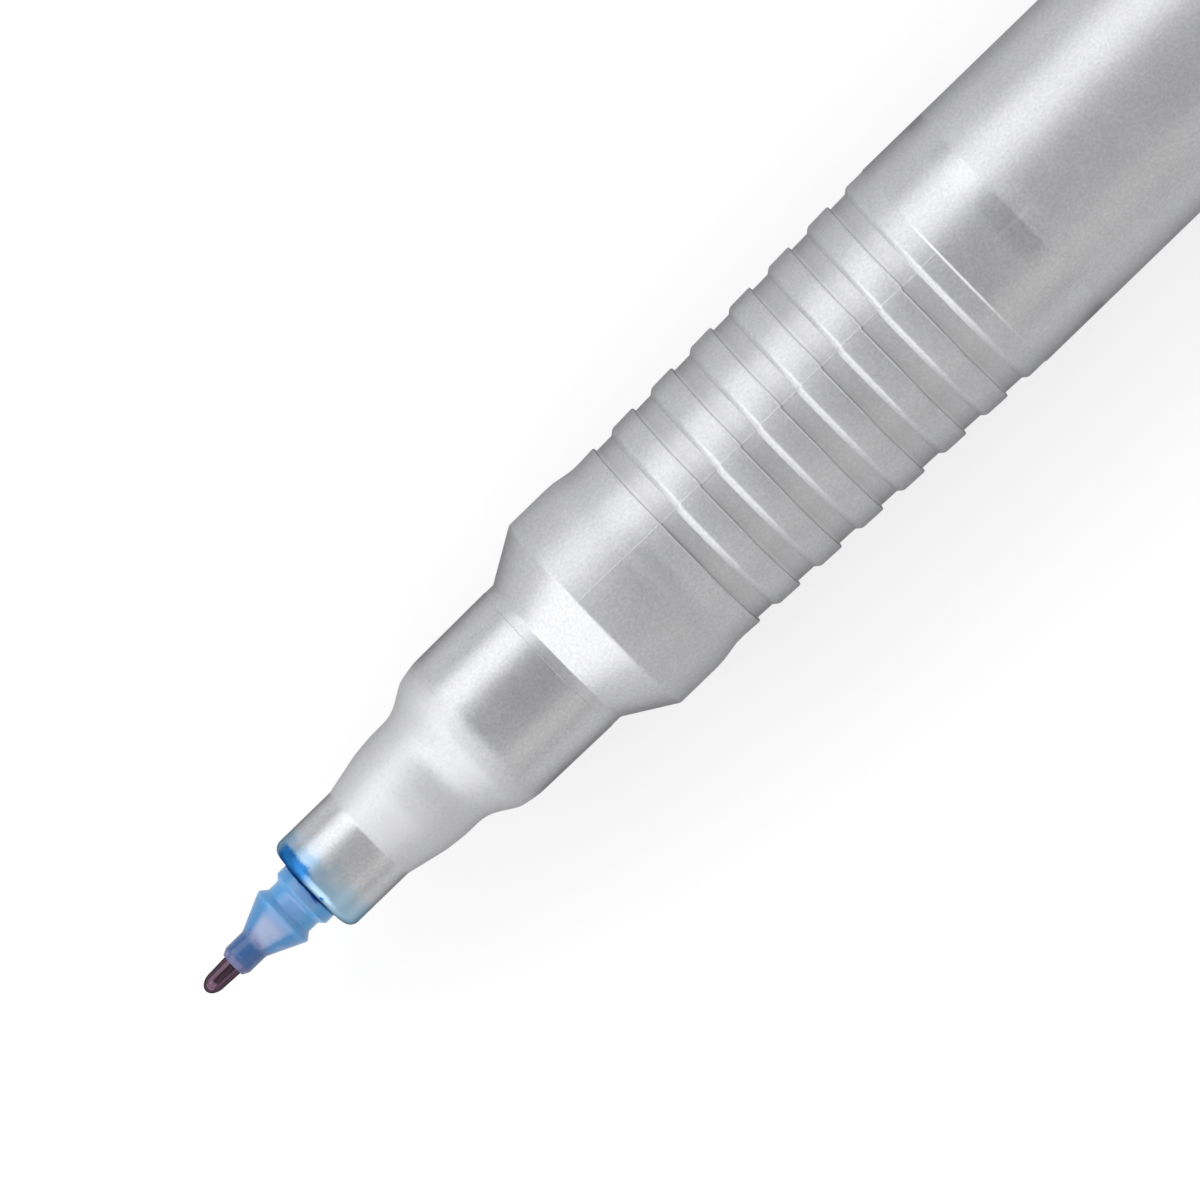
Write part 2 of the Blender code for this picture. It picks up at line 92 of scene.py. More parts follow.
@dataclass(frozen=True)
class Value:
    """Output socket of a node that takes part in Python arithmetic."""

    tree: Tree
    socket: bpy.types.NodeSocket

    def math(self, operation: str, *others: Any) -> Value:
        """Adds a Math node on this value.

        Args:
            operation: the Math node's operation.
            others: further operands, as values or numbers.

        Returns:
            The node's result.
        """
        operands = dict(enumerate((self, *others)))
        return self.tree.node("ShaderNodeMath", {"operation": operation}, operands)["Value"]

    def __add__(self, other: Any) -> Value:
        """Sum."""
        return self.math("ADD", other)

    __radd__ = __add__

    def __sub__(self, other: Any) -> Value:
        """Difference."""
        return self.math("SUBTRACT", other)

    def __rsub__(self, other: float) -> Value:
        """Difference from a number."""
        return (self * -1.0) + other

    def __mul__(self, other: Any) -> Value:
        """Product."""
        return self.math("MULTIPLY", other)

    __rmul__ = __mul__

    def __truediv__(self, other: Any) -> Value:
        """Quotient."""
        return self.math("DIVIDE", other)

    def __rtruediv__(self, other: float) -> Value:
        """Quotient of a number by this value."""
        return self.math("POWER", -1.0) * other

    def __abs__(self) -> Value:
        """Absolute value."""
        return self.math("ABSOLUTE")

    def above(self, other: Any) -> Value:
        """1 where this value is larger, else 0."""
        return self.math("GREATER_THAN", other)

    def at_least(self, other: Any) -> Value:
        """Larger of the two."""
        return self.math("MAXIMUM", other)


@dataclass(frozen=True)
class Made:
    """A node just made, whose outputs are read by name or number."""

    tree: Tree
    node: bpy.types.Node

    def __getitem__(self, name: Union[str, int]) -> Value:
        """Output of that name or number."""
        return Value(self.tree, self.node.outputs[name])


class Tree:
    """Builder round one node tree, for shaders and geometry alike."""

    def __init__(self, nodes_in: bpy.types.NodeTree) -> None:
        """Starts from an empty tree.

        Args:
            nodes_in: the tree to fill.
        """
        self.nodes_in = nodes_in
        self.nodes_in.nodes.clear()

    def node(self, kind: str, settings: Optional[Settings] = None, inputs: Optional[Inputs] = None) -> Made:
        """Adds a node.

        Args:
            kind: the node's type.
            settings: its properties, set before the sockets.
            inputs: values or links of its sockets, by name or number.

        Returns:
            The node.
        """
        made = self.nodes_in.nodes.new(kind)
        for name, setting in (settings or {}).items():
            setattr(made, name, setting)
        for name, given in (inputs or {}).items():
            if isinstance(given, Value):
                self.nodes_in.links.new(given.socket, made.inputs[name])
            else:
                made.inputs[name].default_value = given
        return Made(self, made)

    def axes(self, vector: Value) -> tuple[Value, Value, Value]:
        """Splits a vector into its three values."""
        parts = self.node("ShaderNodeSeparateXYZ", None, {"Vector": vector})
        return parts["X"], parts["Y"], parts["Z"]

    def vector(self, x: Any, y: Any, z: Any) -> Value:
        """Joins three values to a vector."""
        return self.node("ShaderNodeCombineXYZ", None, {"X": x, "Y": y, "Z": z})["Vector"]


class GeometryTree(Tree):
    """Geometry Nodes tree with named inputs."""

    def __init__(self, name: str) -> None:
        """Makes a tree with a geometry output and no inputs yet.

        Args:
            name: the tree's name.
        """
        self.group = bpy.data.node_groups.new(name, "GeometryNodeTree")
        super().__init__(self.group)
        self.group.interface.new_socket(name="Solid", in_out="OUTPUT", socket_type="NodeSocketGeometry")
        self.entry = self.node("NodeGroupInput")

    def input(self, name: str, kind: str) -> Value:
        """Adds a named input.

        Args:
            name: the input's name.
            kind: the kind of socket, without its prefix.

        Returns:
            The input inside the tree.
        """
        self.group.interface.new_socket(name=name, in_out="INPUT", socket_type="NodeSocket" + kind)
        return self.entry[name]

    def close(self, geometry: Value, finish: Value) -> None:
        """Ends the tree in plain geometry with its finish set.

        Args:
            geometry: the geometry made.
            finish: the material.
        """
        plain = self.node("GeometryNodeRealizeInstances", None, {"Geometry": geometry})["Geometry"]
        smooth = self.node("GeometryNodeSetShadeSmooth", None, {"Geometry": plain})["Geometry"]
        dressed = self.node("GeometryNodeSetMaterial", None, {"Geometry": smooth, "Material": finish})
        self.node("NodeGroupOutput", None, {"Solid": dressed["Geometry"]})

    def identifier(self, name: str) -> str:
        """Identifier of a named input, as the modifier keeps it."""
        sockets = self.group.interface.items_tree
        return next(s.identifier for s in sockets if s.name == name and s.in_out == "INPUT")

    def apply(self, piece: bpy.types.Object, sizes: dict[str, Any]) -> bpy.types.Object:
        """Runs the tree on an object and keeps the result as a plain mesh.

        Args:
            piece: the object whose mesh feeds the tree.
            sizes: values of the named inputs.

        Returns:
            The same object with its finished mesh.
        """
        modifier = piece.modifiers.new(self.group.name, "NODES")
        modifier.node_group = self.group
        for name, size in sizes.items():
            modifier[self.identifier(name)] = size
        return bake(piece)


class Shader(Tree):
    """Material with one Principled shader and helpers in millimetres."""

    def __init__(self, name: str, **uniform: Any) -> None:
        """Makes the material.

        Args:
            name: the material's name.
            uniform: values that are the same all over, by socket name with _ for a space.
        """
        self.material = bpy.data.materials.new(name)
        self.material.use_nodes = True
        super().__init__(self.material.node_tree)
        plain = {name.replace("_", " "): value for name, value in uniform.items()}
        self.surface = self.node("ShaderNodeBsdfPrincipled", None, plain)
        self.node("ShaderNodeOutputMaterial", None, {"Surface": self.surface["BSDF"]})
        where = self.node("ShaderNodeTexCoord")["Object"]
        scale = self.node("ShaderNodeVectorMath", {"operation": "SCALE"}, {0: where, "Scale": 1.0 / MM})
        self.place = scale["Vector"]

    def varies(self, **sockets: Value) -> None:
        """Links values that change over the surface, by socket name with _ for a space."""
        for name, value in sockets.items():
            self.nodes_in.links.new(value.socket, self.surface.node.inputs[name.replace("_", " ")])

    def stretched(self, along: float, across: float) -> Value:
        """Place with its scale changed along and across the pen."""
        inputs = {0: self.place, 1: (along, across, across)}
        return self.node("ShaderNodeVectorMath", {"operation": "MULTIPLY"}, inputs)["Vector"]

    def noise(self, per_mm: float, detail: float = 2.0, place: Optional[Value] = None) -> Value:
        """Smooth noise.

        Args:
            per_mm: features per millimetre.
            detail: octaves.
            place: coordinates, if not the plain place.

        Returns:
            Value round one half.
        """
        inputs = {"Vector": place or self.place, "Scale": per_mm, "Detail": detail}
        return self.node("ShaderNodeTexNoise", {"noise_dimensions": "3D"}, inputs)["Fac"]

    def rise(self, value: Value, start: float, end: float) -> Value:
        """Smooth step from 0 at one level to 1 at another.

        Args:
            value: what is measured.
            start: level where the step is 0.
            end: level where the step is 1, which may be the lower one.

        Returns:
            The step.
        """
        inputs: Inputs = {"Value": value, "From Min": min(start, end), "From Max": max(start, end)}
        if end < start:
            inputs.update({"To Min": 1.0, "To Max": 0.0})
        return self.node("ShaderNodeMapRange", {"interpolation_type": "SMOOTHSTEP"}, inputs)["Result"]

    def span(self, value: Value, start: float, end: float, edge: float) -> Value:
        """1 between two levels, with soft edges."""
        return self.rise(value, start - edge, start) * self.rise(value, end + edge, end)

    def blend(self, share: Any, first: Any, second: Any) -> Value:
        """Mixes two colours.

        Args:
            share: how much of the second.
            first: colour or link.
            second: colour or link.

        Returns:
            The mixed colour.
        """
        first = first if isinstance(first, Value) else (*first, 1.0)
        second = second if isinstance(second, Value) else (*second, 1.0)
        return self.node("ShaderNodeMix", {"data_type": "RGBA"}, {0: share, 6: first, 7: second})[2]

    def bump(self, height: Value, depth: float) -> Value:
        """Normal for a relief.

        Args:
            height: relief from 0 to 1.
            depth: its depth in millimetres.

        Returns:
            The normal.
        """
        inputs = {"Height": height, "Strength": 1.0, "Distance": depth * MM}
        return self.node("ShaderNodeBump", None, inputs)["Normal"]


class PenShader(Shader):
    """Material that measures its place on the pen, in millimetres and radians."""

    def __init__(self, name: str, axis: PenAxis, **uniform: Any) -> None:
        """Makes the material.

        Args:
            name: the material's name.
            axis: the pen's axis.
            uniform: values that are the same all over, by socket name with _ for a space.
        """
        super().__init__(name, **uniform)
        x, y, z = self.axes(self.place)
        self.along = axis.point / MM - x
        self.across = y - axis.side / MM
        self.up = z - axis.height / MM
        self.turn = self.across.math("ARCTAN2", self.up)


# Shapes


@dataclass(frozen=True)
class PenAxis:
    """The line that every turned piece is centred on.

    Attributes:
        point: world X of the nib's point, m.
        side: world Y of the axis, m.
        height: world Z of the axis, m.
    """

    point: float
    side: float
    height: float

    @classmethod
    def from_frame(cls) -> PenAxis:
        """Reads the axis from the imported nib."""
        low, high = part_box("nib")
        return cls(high[0], (low[1] + high[1]) / 2, (low[2] + high[2]) / 2)

    def along(self, x: float) -> float:
        """Distance behind the nib's point of a world X, mm."""
        return (self.point - x) / MM

    def world(self, along: float, across: Vector) -> Vector:
        """World point from a distance behind the point, mm, and a place off the axis, mm."""
        return Vector((self.point - along * MM, self.side + across.y * MM, self.height + across.z * MM))


@dataclass(frozen=True)
class Corner:
    """Corner of a turned profile, in millimetres.

    Attributes:
        along: distance behind the nib's point.
        radius: distance from the axis.
        fillet: radius of its rounding.
    """

    along: float
    radius: float
    fillet: float = 0.0


def swell(start: Corner, end: Corner, leave_steep: bool, steps: int = 14) -> list[Corner]:
    """Quarter of an ellipse between two corners, both included.

    Args:
        start: where it starts.
        end: where it ends.
        leave_steep: True where it leaves across the axis and arrives along it.
        steps: number of chords.

    Returns:
        The corners along it.
    """
    run = []
    for step in range(steps + 1):
        turn = math.pi / 2 * step / steps
        shares = (1 - math.cos(turn), math.sin(turn))
        ahead, up = shares if leave_steep else reversed(shares)
        along = start.along + (end.along - start.along) * ahead
        run.append(Corner(along, start.radius + (end.radius - start.radius) * up))
    return run


@dataclass(frozen=True)
class Profile:
    """Half section of a turned piece.

    Attributes:
        corners: its corners in order, with the material on the right hand.
        closed: True where the last corner joins the first, as round a bore.
        arc_step: largest turn between two points of a rounding, in degrees.
    """

    corners: Sequence[Corner]
    closed: bool = False
    arc_step: float = 9.0

    def points(self) -> list[Vector]:
        """Rounds the corners.

        Returns:
            Flat (along, radius) points, in millimetres.
        """
        flat = [Vector((corner.along, corner.radius)) for corner in self.corners]
        last = len(flat) - 1
        points: list[Vector] = []
        for place, corner in enumerate(self.corners):
            ends = not self.closed and place in (0, last)
            if corner.fillet <= 0 or ends:
                points.append(flat[place])
                continue
            after = flat[(place + 1) % len(flat)]
            points += self.fillet(flat[place - 1], flat[place], after, corner.fillet)
        if self.closed:
            points.append(points[0].copy())
        return points

    def fillet(self, before: Vector, corner: Vector, after: Vector, radius: float) -> list[Vector]:
        """Arc in place of one corner.

        Args:
            before: corner ahead of it.
            corner: the corner itself.
            after: corner behind it.
            radius: radius of the arc, made smaller where the sides are short.

        Returns:
            Points of the arc.
        """
        back = (before - corner).normalized()
        ahead = (after - corner).normalized()
        half = back.angle(ahead) / 2
        if half > FLAT_CORNER:
            return [corner]
        room = FILLET_ROOM * min((before - corner).length, (after - corner).length)
        reach = min(radius / math.tan(half), room)
        radius = reach * math.tan(half)
        centre = corner + (back + ahead).normalized() * (radius / math.sin(half))
        start = corner + back * reach - centre
        turn = start.angle_signed(corner + ahead * reach - centre)
        steps = max(2, math.ceil(abs(math.degrees(turn)) / self.arc_step))
        return [centre + Matrix.Rotation(-turn * step / steps, 2) @ start for step in range(steps + 1)]


def new_piece(name: str, mesh: bpy.types.Mesh) -> bpy.types.Object:
    """Links a new object at the origin.

    Args:
        name: its name.
        mesh: its mesh.

    Returns:
        The object.
    """
    piece = bpy.data.objects.new(name, mesh)
    bpy.context.scene.collection.objects.link(piece)
    return piece


def bake(piece: bpy.types.Object) -> bpy.types.Object:
    """Turns an object's modifiers into a plain mesh.

    Args:
        piece: the object.

    Returns:
        The same object, without modifiers.
    """
    bpy.context.view_layer.update()
    evaluated = piece.evaluated_get(bpy.context.evaluated_depsgraph_get())
    mesh = bpy.data.meshes.new_from_object(evaluated)
    mesh.name = piece.name
    piece.modifiers.clear()
    piece.data = mesh
    mesh.set_sharp_from_angle(angle=SHARP_ANGLE)
    return piece


class Lathe(GeometryTree):
    """Geometry Nodes lathe: turns the points of a profile round the pen's axis."""

    def __init__(self, axis: PenAxis) -> None:
        """Builds the tree.

        Args:
            axis: the pen's axis.
        """
        super().__init__("turned_solid")
        self.axis = axis
        profile = self.input("Profile", "Geometry")
        segments = self.input("Segments", "Int")
        side = self.input("Axis Side", "Float")
        height = self.input("Axis Height", "Float")
        finish = self.input("Finish", "Material")
        rows = self.node("GeometryNodeAttributeDomainSize", {"component": "MESH"}, {"Geometry": profile})
        columns = segments + 1
        size = {"Vertices X": rows["Point Count"], "Vertices Y": columns}
        grid = self.node("GeometryNodeMeshGrid", None, size)["Mesh"]
        index = self.node("GeometryNodeInputIndex")["Index"]
        row = ((index + 0.5) / columns).math("FLOOR")
        turn = (index - row * columns) * (2 * math.pi) / segments
        here = self.node("GeometryNodeInputPosition")["Position"]
        sample = {"data_type": "FLOAT_VECTOR", "domain": "POINT"}
        spot = {"Geometry": profile, "Value": here, "Index": row}
        along, _, radius = self.axes(self.node("GeometryNodeSampleIndex", sample, spot)["Value"])
        across = side - radius * turn.math("SINE")
        up = height + radius * turn.math("COSINE")
        around = {"Geometry": grid, "Position": self.vector(along, across, up)}
        bent = self.node("GeometryNodeSetPosition", None, around)["Geometry"]
        weld = {"Geometry": bent, "Distance": MERGE}
        self.close(self.node("GeometryNodeMergeByDistance", None, weld)["Geometry"], finish)

    def section(self, name: str, profile: Profile) -> bpy.types.Object:
        """Object with the points of a profile, X along the pen and Z the radius.

        Args:
            name: the piece's name.
            profile: its half section.

        Returns:
            The object, not yet turned.
        """
        mesh = bpy.data.meshes.new(name)
        points = [(self.axis.point - point.x * MM, 0.0, point.y * MM) for point in profile.points()]
        mesh.from_pydata(points, [], [])
        return new_piece(name, mesh)

    def sizes(self, finish: bpy.types.Material, facets: int) -> dict[str, Any]:
        """Inputs that every turned piece has: its finish, its facets and the axis."""
        place = {"Axis Side": self.axis.side, "Axis Height": self.axis.height}
        return {"Segments": facets, "Finish": finish, **place}

    def turn(self, name: str, profile: Profile, finish: bpy.types.Material, facets: int) -> bpy.types.Object:
        """Turns one piece.

        Args:
            name: the piece's name.
            profile: its half section.
            finish: its material.
            facets: facets round the axis.

        Returns:
            The piece.
        """
        return self.apply(self.section(name, profile), self.sizes(finish, facets))


class BandRow(GeometryTree):
    """Geometry Nodes row of grip bands, each a turned ring a little wider than the last."""

    def __init__(self, lathe: Lathe) -> None:
        """Builds the tree.

        Args:
            lathe: the tree that turns one ring.
        """
        super().__init__("grip_band_row")
        section = self.input("Section", "Geometry")
        segments = self.input("Segments", "Int")
        side = self.input("Axis Side", "Float")
        height = self.input("Axis Height", "Float")
        count = self.input("Bands", "Int")
        pitch = self.input("Pitch", "Float")
        growth = self.input("Growth", "Float")
        parting = self.input("Parting Angle", "Float")
        mismatch = self.input("Mould Mismatch", "Float")
        finish = self.input("Finish", "Material")
        shape = {"Profile": section, "Segments": segments, "Finish": finish}
        ring = self.node("GeometryNodeGroup", {"node_tree": lathe.group}, shape)["Solid"]
        start = self.vector(0.0, side, height)
        step = self.vector(pitch * -1.0, 0.0, 0.0)
        line = {"Count": count, "Start Location": start, "Offset": step}
        places = self.node("GeometryNodeMeshLine", {"mode": "OFFSET"}, line)["Mesh"]
        wider = self.node("GeometryNodeInputIndex")["Index"] * growth + 1.0
        scale = self.vector(1.0, wider, wider)
        row = {"Points": places, "Instance": ring, "Scale": scale}
        rings = self.node("GeometryNodeInstanceOnPoints", None, row)["Instances"]
        plain = self.node("GeometryNodeRealizeInstances", None, {"Geometry": rings})["Geometry"]
        _, across, up = self.axes(self.node("GeometryNodeInputPosition")["Position"])
        past = (across - side) * parting.math("COSINE") - (up - height) * parting.math("SINE")
        shift = self.vector(past.above(0.0) * mismatch, 0.0, 0.0)
        moved = self.node("GeometryNodeSetPosition", None, {"Geometry": plain, "Offset": shift})
        self.close(moved["Geometry"], finish)


# Finishes


@dataclass(frozen=True)
class GlossZone:
    """Stretch of the barrel with one polish.

    Attributes:
        start: where it starts, mm behind the nib's point.
        rough: its roughness.
        fade: half the length over which it takes over, mm.
    """

    start: float
    rough: float
    fade: float = 0.06


@dataclass(frozen=True)
class PearlPlastic:
    """Pearl-grey moulded barrel: pigment grain, gloss zones, parting line, ink stain at the nose, dirt and
    painted shade in the grooves, a painted light stripe behind each band and a painted lighter waist.

    Attributes:
        colour: base colour.
        shade: colour of the darker pigment.
        painted_waist_start: front end of the waist whose pigment is painted lighter, standing in for the
            light it catches, mm.
        painted_waist_end: its rear end, mm.
        grime_and_shade: colour of the groove floors between the bands, dirt together with painted shade in
            the recess.
        grime_shade_from: depth below the band tops where the dirt and painted shade start, mm.
        grime_shade_full: depth where they are full, mm.
        corner_shade_length: length of the deeper painted shade behind each band's wall, mm.
        grip_start: front end of the grooved grip, mm.
        grip_end: its rear end, mm.
        grip_front_radius: radius of the band tops at the front, mm.
        grip_spread: growth of that radius per millimetre.
        pitch: distance from one band to the next, mm.
        mismatch: step of the bands at the parting line, mm.
        stripe_light_colour: colour of the stripe of painted light at the foot of each band's wall.
        light_stripe_length: length of that stripe, mm.
        metallic: share of metallic pigment.
        edge: tint of its reflection at a low angle.
        zones: polished and satin stretches, from the nose on.
        stain_from: place of the nose's rim, mm.
        stain_fade: length of the pale stain, mm.
        stain: colour of the strong stain.
        wash: colour of the stain where it is thinner.
        tint: colour of the pale stain.
        stain_turn: direction of the strong stain round the axis, rad.
        stain_reach: how far the strong stain spreads to either side, rad.
        stain_depth: length of the strong stain, mm.
        parting_turn: direction of the mould's parting line, rad.
        parting_start: its front end, mm.
        parting_end: its rear end, mm.
        parting_half: half its width, rad.
        parting_core: half the width where it is full, rad.
        seam: colour along it.
        skin: depth of the fine skin, mm.
    """

    colour: Colour = (0.572, 0.574, 0.588)
    shade: Colour = (0.456, 0.457, 0.470)
    painted_waist_start: float = 8.9
    painted_waist_end: float = 13.6
    grime_and_shade: Colour = (0.417, 0.417, 0.422)
    grime_shade_from: float = 0.09
    grime_shade_full: float = 0.15
    corner_shade_length: float = 0.6
    grip_start: float = 24.80
    grip_end: float = 38.50
    grip_front_radius: float = 4.538
    grip_spread: float = 0.0312
    pitch: float = 2.113
    mismatch: float = 0.06
    stripe_light_colour: Colour = (0.778, 0.778, 0.789)
    light_stripe_length: float = 0.20
    metallic: float = 0.95
    edge: Colour = (0.09, 0.09, 0.09)
    zones: tuple[GlossZone, ...] = (
        GlossZone(5.0, 0.37),
        GlossZone(8.62, 0.57, 0.08),
        GlossZone(14.2, 0.38, 0.5),
        GlossZone(18.05, 0.42),
        GlossZone(20.5, 0.50),
        GlossZone(23.4, 0.47, 0.4),
        GlossZone(39.36, 0.412),
        GlossZone(41.55, 0.362, 0.25),
        GlossZone(42.45, 0.455),
    )
    stain_from: float = 5.55
    stain_fade: float = 1.7
    stain: Colour = (0.0014, 0.089, 0.285)
    wash: Colour = (0.019, 0.174, 0.472)
    tint: Colour = (0.319, 0.472, 0.597)
    stain_turn: float = math.radians(-37.0)
    stain_reach: float = math.radians(20.0)
    stain_depth: float = 0.56
    parting_turn: float = math.radians(-9.2)
    parting_start: float = 18.5
    parting_end: float = 39.3
    parting_half: float = 0.012
    parting_core: float = 0.003
    seam: Colour = (0.86, 0.86, 0.86)
    skin: float = 0.003

    def polish(self, sheet: PenShader) -> Value:
        """Roughness of the zones, one after the other.

        Args:
            sheet: the material being built.

        Returns:
            The roughness.
        """
        total: Any = self.zones[0].rough
        for before, zone in zip(self.zones, self.zones[1:]):
            step = sheet.rise(sheet.along, zone.start - zone.fade, zone.start + zone.fade)
            total = step * (zone.rough - before.rough) + total
        return total

    def grip(self, sheet: PenShader, skin: Value, pigment: Value) -> Value:
        """Plastic with dirt and painted shade in the grooves, deeper behind each band, and a stripe of
        painted light at the foot of each band's wall.

        Args:
            sheet: the material being built.
            skin: fine noise of the surface.
            pigment: share of the lighter pigment.

        Returns:
            The colour.
        """
        out = (sheet.across * sheet.across + sheet.up * sheet.up).math("SQRT")
        inward = sheet.along - self.grip_start
        sunk = inward * self.grip_spread + (self.grip_front_radius - out)
        gripped = sheet.span(sheet.along, self.grip_start, self.grip_end, 0.02)
        # Painted shade with dirt: the groove floors below the band tops are darkened.
        groove = sheet.rise(sunk + (skin - 0.5) * 0.03, self.grime_shade_from, self.grime_shade_full) * gripped
        slid = inward + sheet.turn.above(self.parting_turn) * self.mismatch
        behind = (slid / self.pitch).math("FRACT") * self.pitch
        # Painted shade: darker towards the wall behind each band.
        corner = sheet.rise(behind, self.corner_shade_length, 0.0)
        # Painted light: a lighter stripe on the groove floor at the foot of each band's wall, lifting its
        # shade.
        painted_light_stripe = sheet.rise(behind, self.light_stripe_length, 0.0) * groove
        clean = sheet.blend(pigment, self.shade, self.colour)
        # Dirt and painted shade are mixed into the groove floors here.
        soiled_and_shaded = sheet.blend(groove * (0.46 - pigment * 0.2 + corner * 0.24), clean, self.grime_and_shade)
        return sheet.blend(painted_light_stripe * 0.50, soiled_and_shaded, self.stripe_light_colour)

    def inked(self, sheet: PenShader, body: Value) -> Value:
        """Plastic with the ink stain at the nose's rim.

        Args:
            sheet: the material being built.
            body: colour without the stain.

        Returns:
            The colour.
        """
        wander = sheet.noise(1.4, 3.0)
        inward = sheet.along - self.stain_from
        pale = sheet.rise(inward / self.stain_fade + (wander - 0.5) * 0.7, 1.05, 0.2)
        near = abs(sheet.turn - self.stain_turn) / self.stain_reach
        deep = inward / self.stain_depth
        ragged = (wander - 0.5) * 0.8 + (sheet.noise(6.5, 2.0) - 0.5) * 0.5
        blotch = sheet.rise(near + ragged, 2.1, 0.85) * sheet.rise(deep + ragged * 0.7, 1.30, 0.90)
        film = sheet.rise(near, 2.3, 1.3) * sheet.rise(deep + ragged, 2.1, 1.6) * 0.22
        spots = sheet.rise(sheet.noise(2.6, 3.0), 0.58, 0.70)
        drops = spots * sheet.rise(deep, 0.9, 0.5) * sheet.rise(near, 3.6, 2.85)
        lip = sheet.rise(sheet.along, self.stain_from + 0.1, self.stain_from + 0.04)
        rim = lip * sheet.rise(near, 3.9, 3.0)
        strong = blotch.at_least(film).at_least(rim).at_least(drops)
        tinted = sheet.blend(pale.at_least(sheet.rise(deep, 0.9, 0.3)), body, self.tint)
        washed = sheet.blend(sheet.noise(3.1, 2.0), self.stain, self.wash)
        return sheet.blend(strong * 0.96, tinted, washed)

    def material(self, axis: PenAxis) -> bpy.types.Material:
        """Builds the material.

        Args:
            axis: the pen's axis.

        Returns:
            The material.
        """
        sheet = PenShader("barrel_pearl", axis, Metallic=self.metallic, Specular_Tint=(*self.edge, 1.0))
        skin = sheet.noise(6.0, 3.0)
        grain = sheet.noise(9.0, 3.0) * 0.7 + skin * 0.3
        cloud = sheet.noise(0.35, 2.0)
        # Painted light: the waist's pigment is shifted lighter, standing in for the light it catches.
        painted_waist_light = sheet.span(sheet.along, self.painted_waist_start, self.painted_waist_end, 0.8)
        pigment = sheet.rise(grain * 0.8 + cloud * 0.2 + painted_waist_light * 0.13, 0.3, 0.72)
        stained = self.inked(sheet, self.grip(sheet, skin, pigment))
        on_line = sheet.rise(abs(sheet.turn - self.parting_turn), self.parting_half, self.parting_core)
        parting = on_line * sheet.span(sheet.along, self.parting_start, self.parting_end, 0.1)
        seamed = sheet.blend(parting * 0.03, stained, self.seam)
        scuff = sheet.rise(sheet.noise(0.9, 4.0, sheet.stretched(0.25, 2.2)), 0.62, 0.75)
        rough = self.polish(sheet) + (grain - 0.5) * 0.06 + (cloud - 0.5) * 0.06 + scuff * 0.05
        relief = skin * 0.6 + scuff * 0.15 + parting * 1.2
        sheet.varies(Base_Color=seamed, Roughness=rough, Normal=sheet.bump(relief, self.skin))
        return sheet.material


@dataclass(frozen=True)
class InkedFibre:
    """Fibre soaked with ink: fine streaks along the pen, dark and a little shiny.

    Attributes:
        name: the material's name.
        dark: colour between the fibres.
        light: colour of the fibres.
        rough: roughness.
        strands: strands per millimetre.
        depth: depth of the strands, mm.
        sheen: share of the bronze sheen that a film of ink has.
        edge: tint of the reflection at a low angle.
    """

    name: str
    dark: Colour
    light: Colour
    rough: float
    strands: float
    depth: float
    sheen: float = 0.0
    edge: Colour = (1.0, 1.0, 1.0)

    def material(self) -> bpy.types.Material:
        """Builds the material.

        Returns:
            The material.
        """
        sheet = Shader(self.name, Metallic=self.sheen, Specular_Tint=(*self.edge, 1.0))
        strand = sheet.noise(self.strands, 2.0, sheet.stretched(0.08, 1.0))
        blot = sheet.noise(1.1, 3.0)
        share = sheet.rise(strand * 0.7 + blot * 0.3, 0.3, 0.7)
        colour = sheet.blend(share, self.dark, self.light)
        rough = self.rough + (strand - 0.5) * 0.2 + (blot - 0.5) * 0.1
        sheet.varies(Base_Color=colour, Roughness=rough, Normal=sheet.bump(strand, self.depth))
        return sheet.material


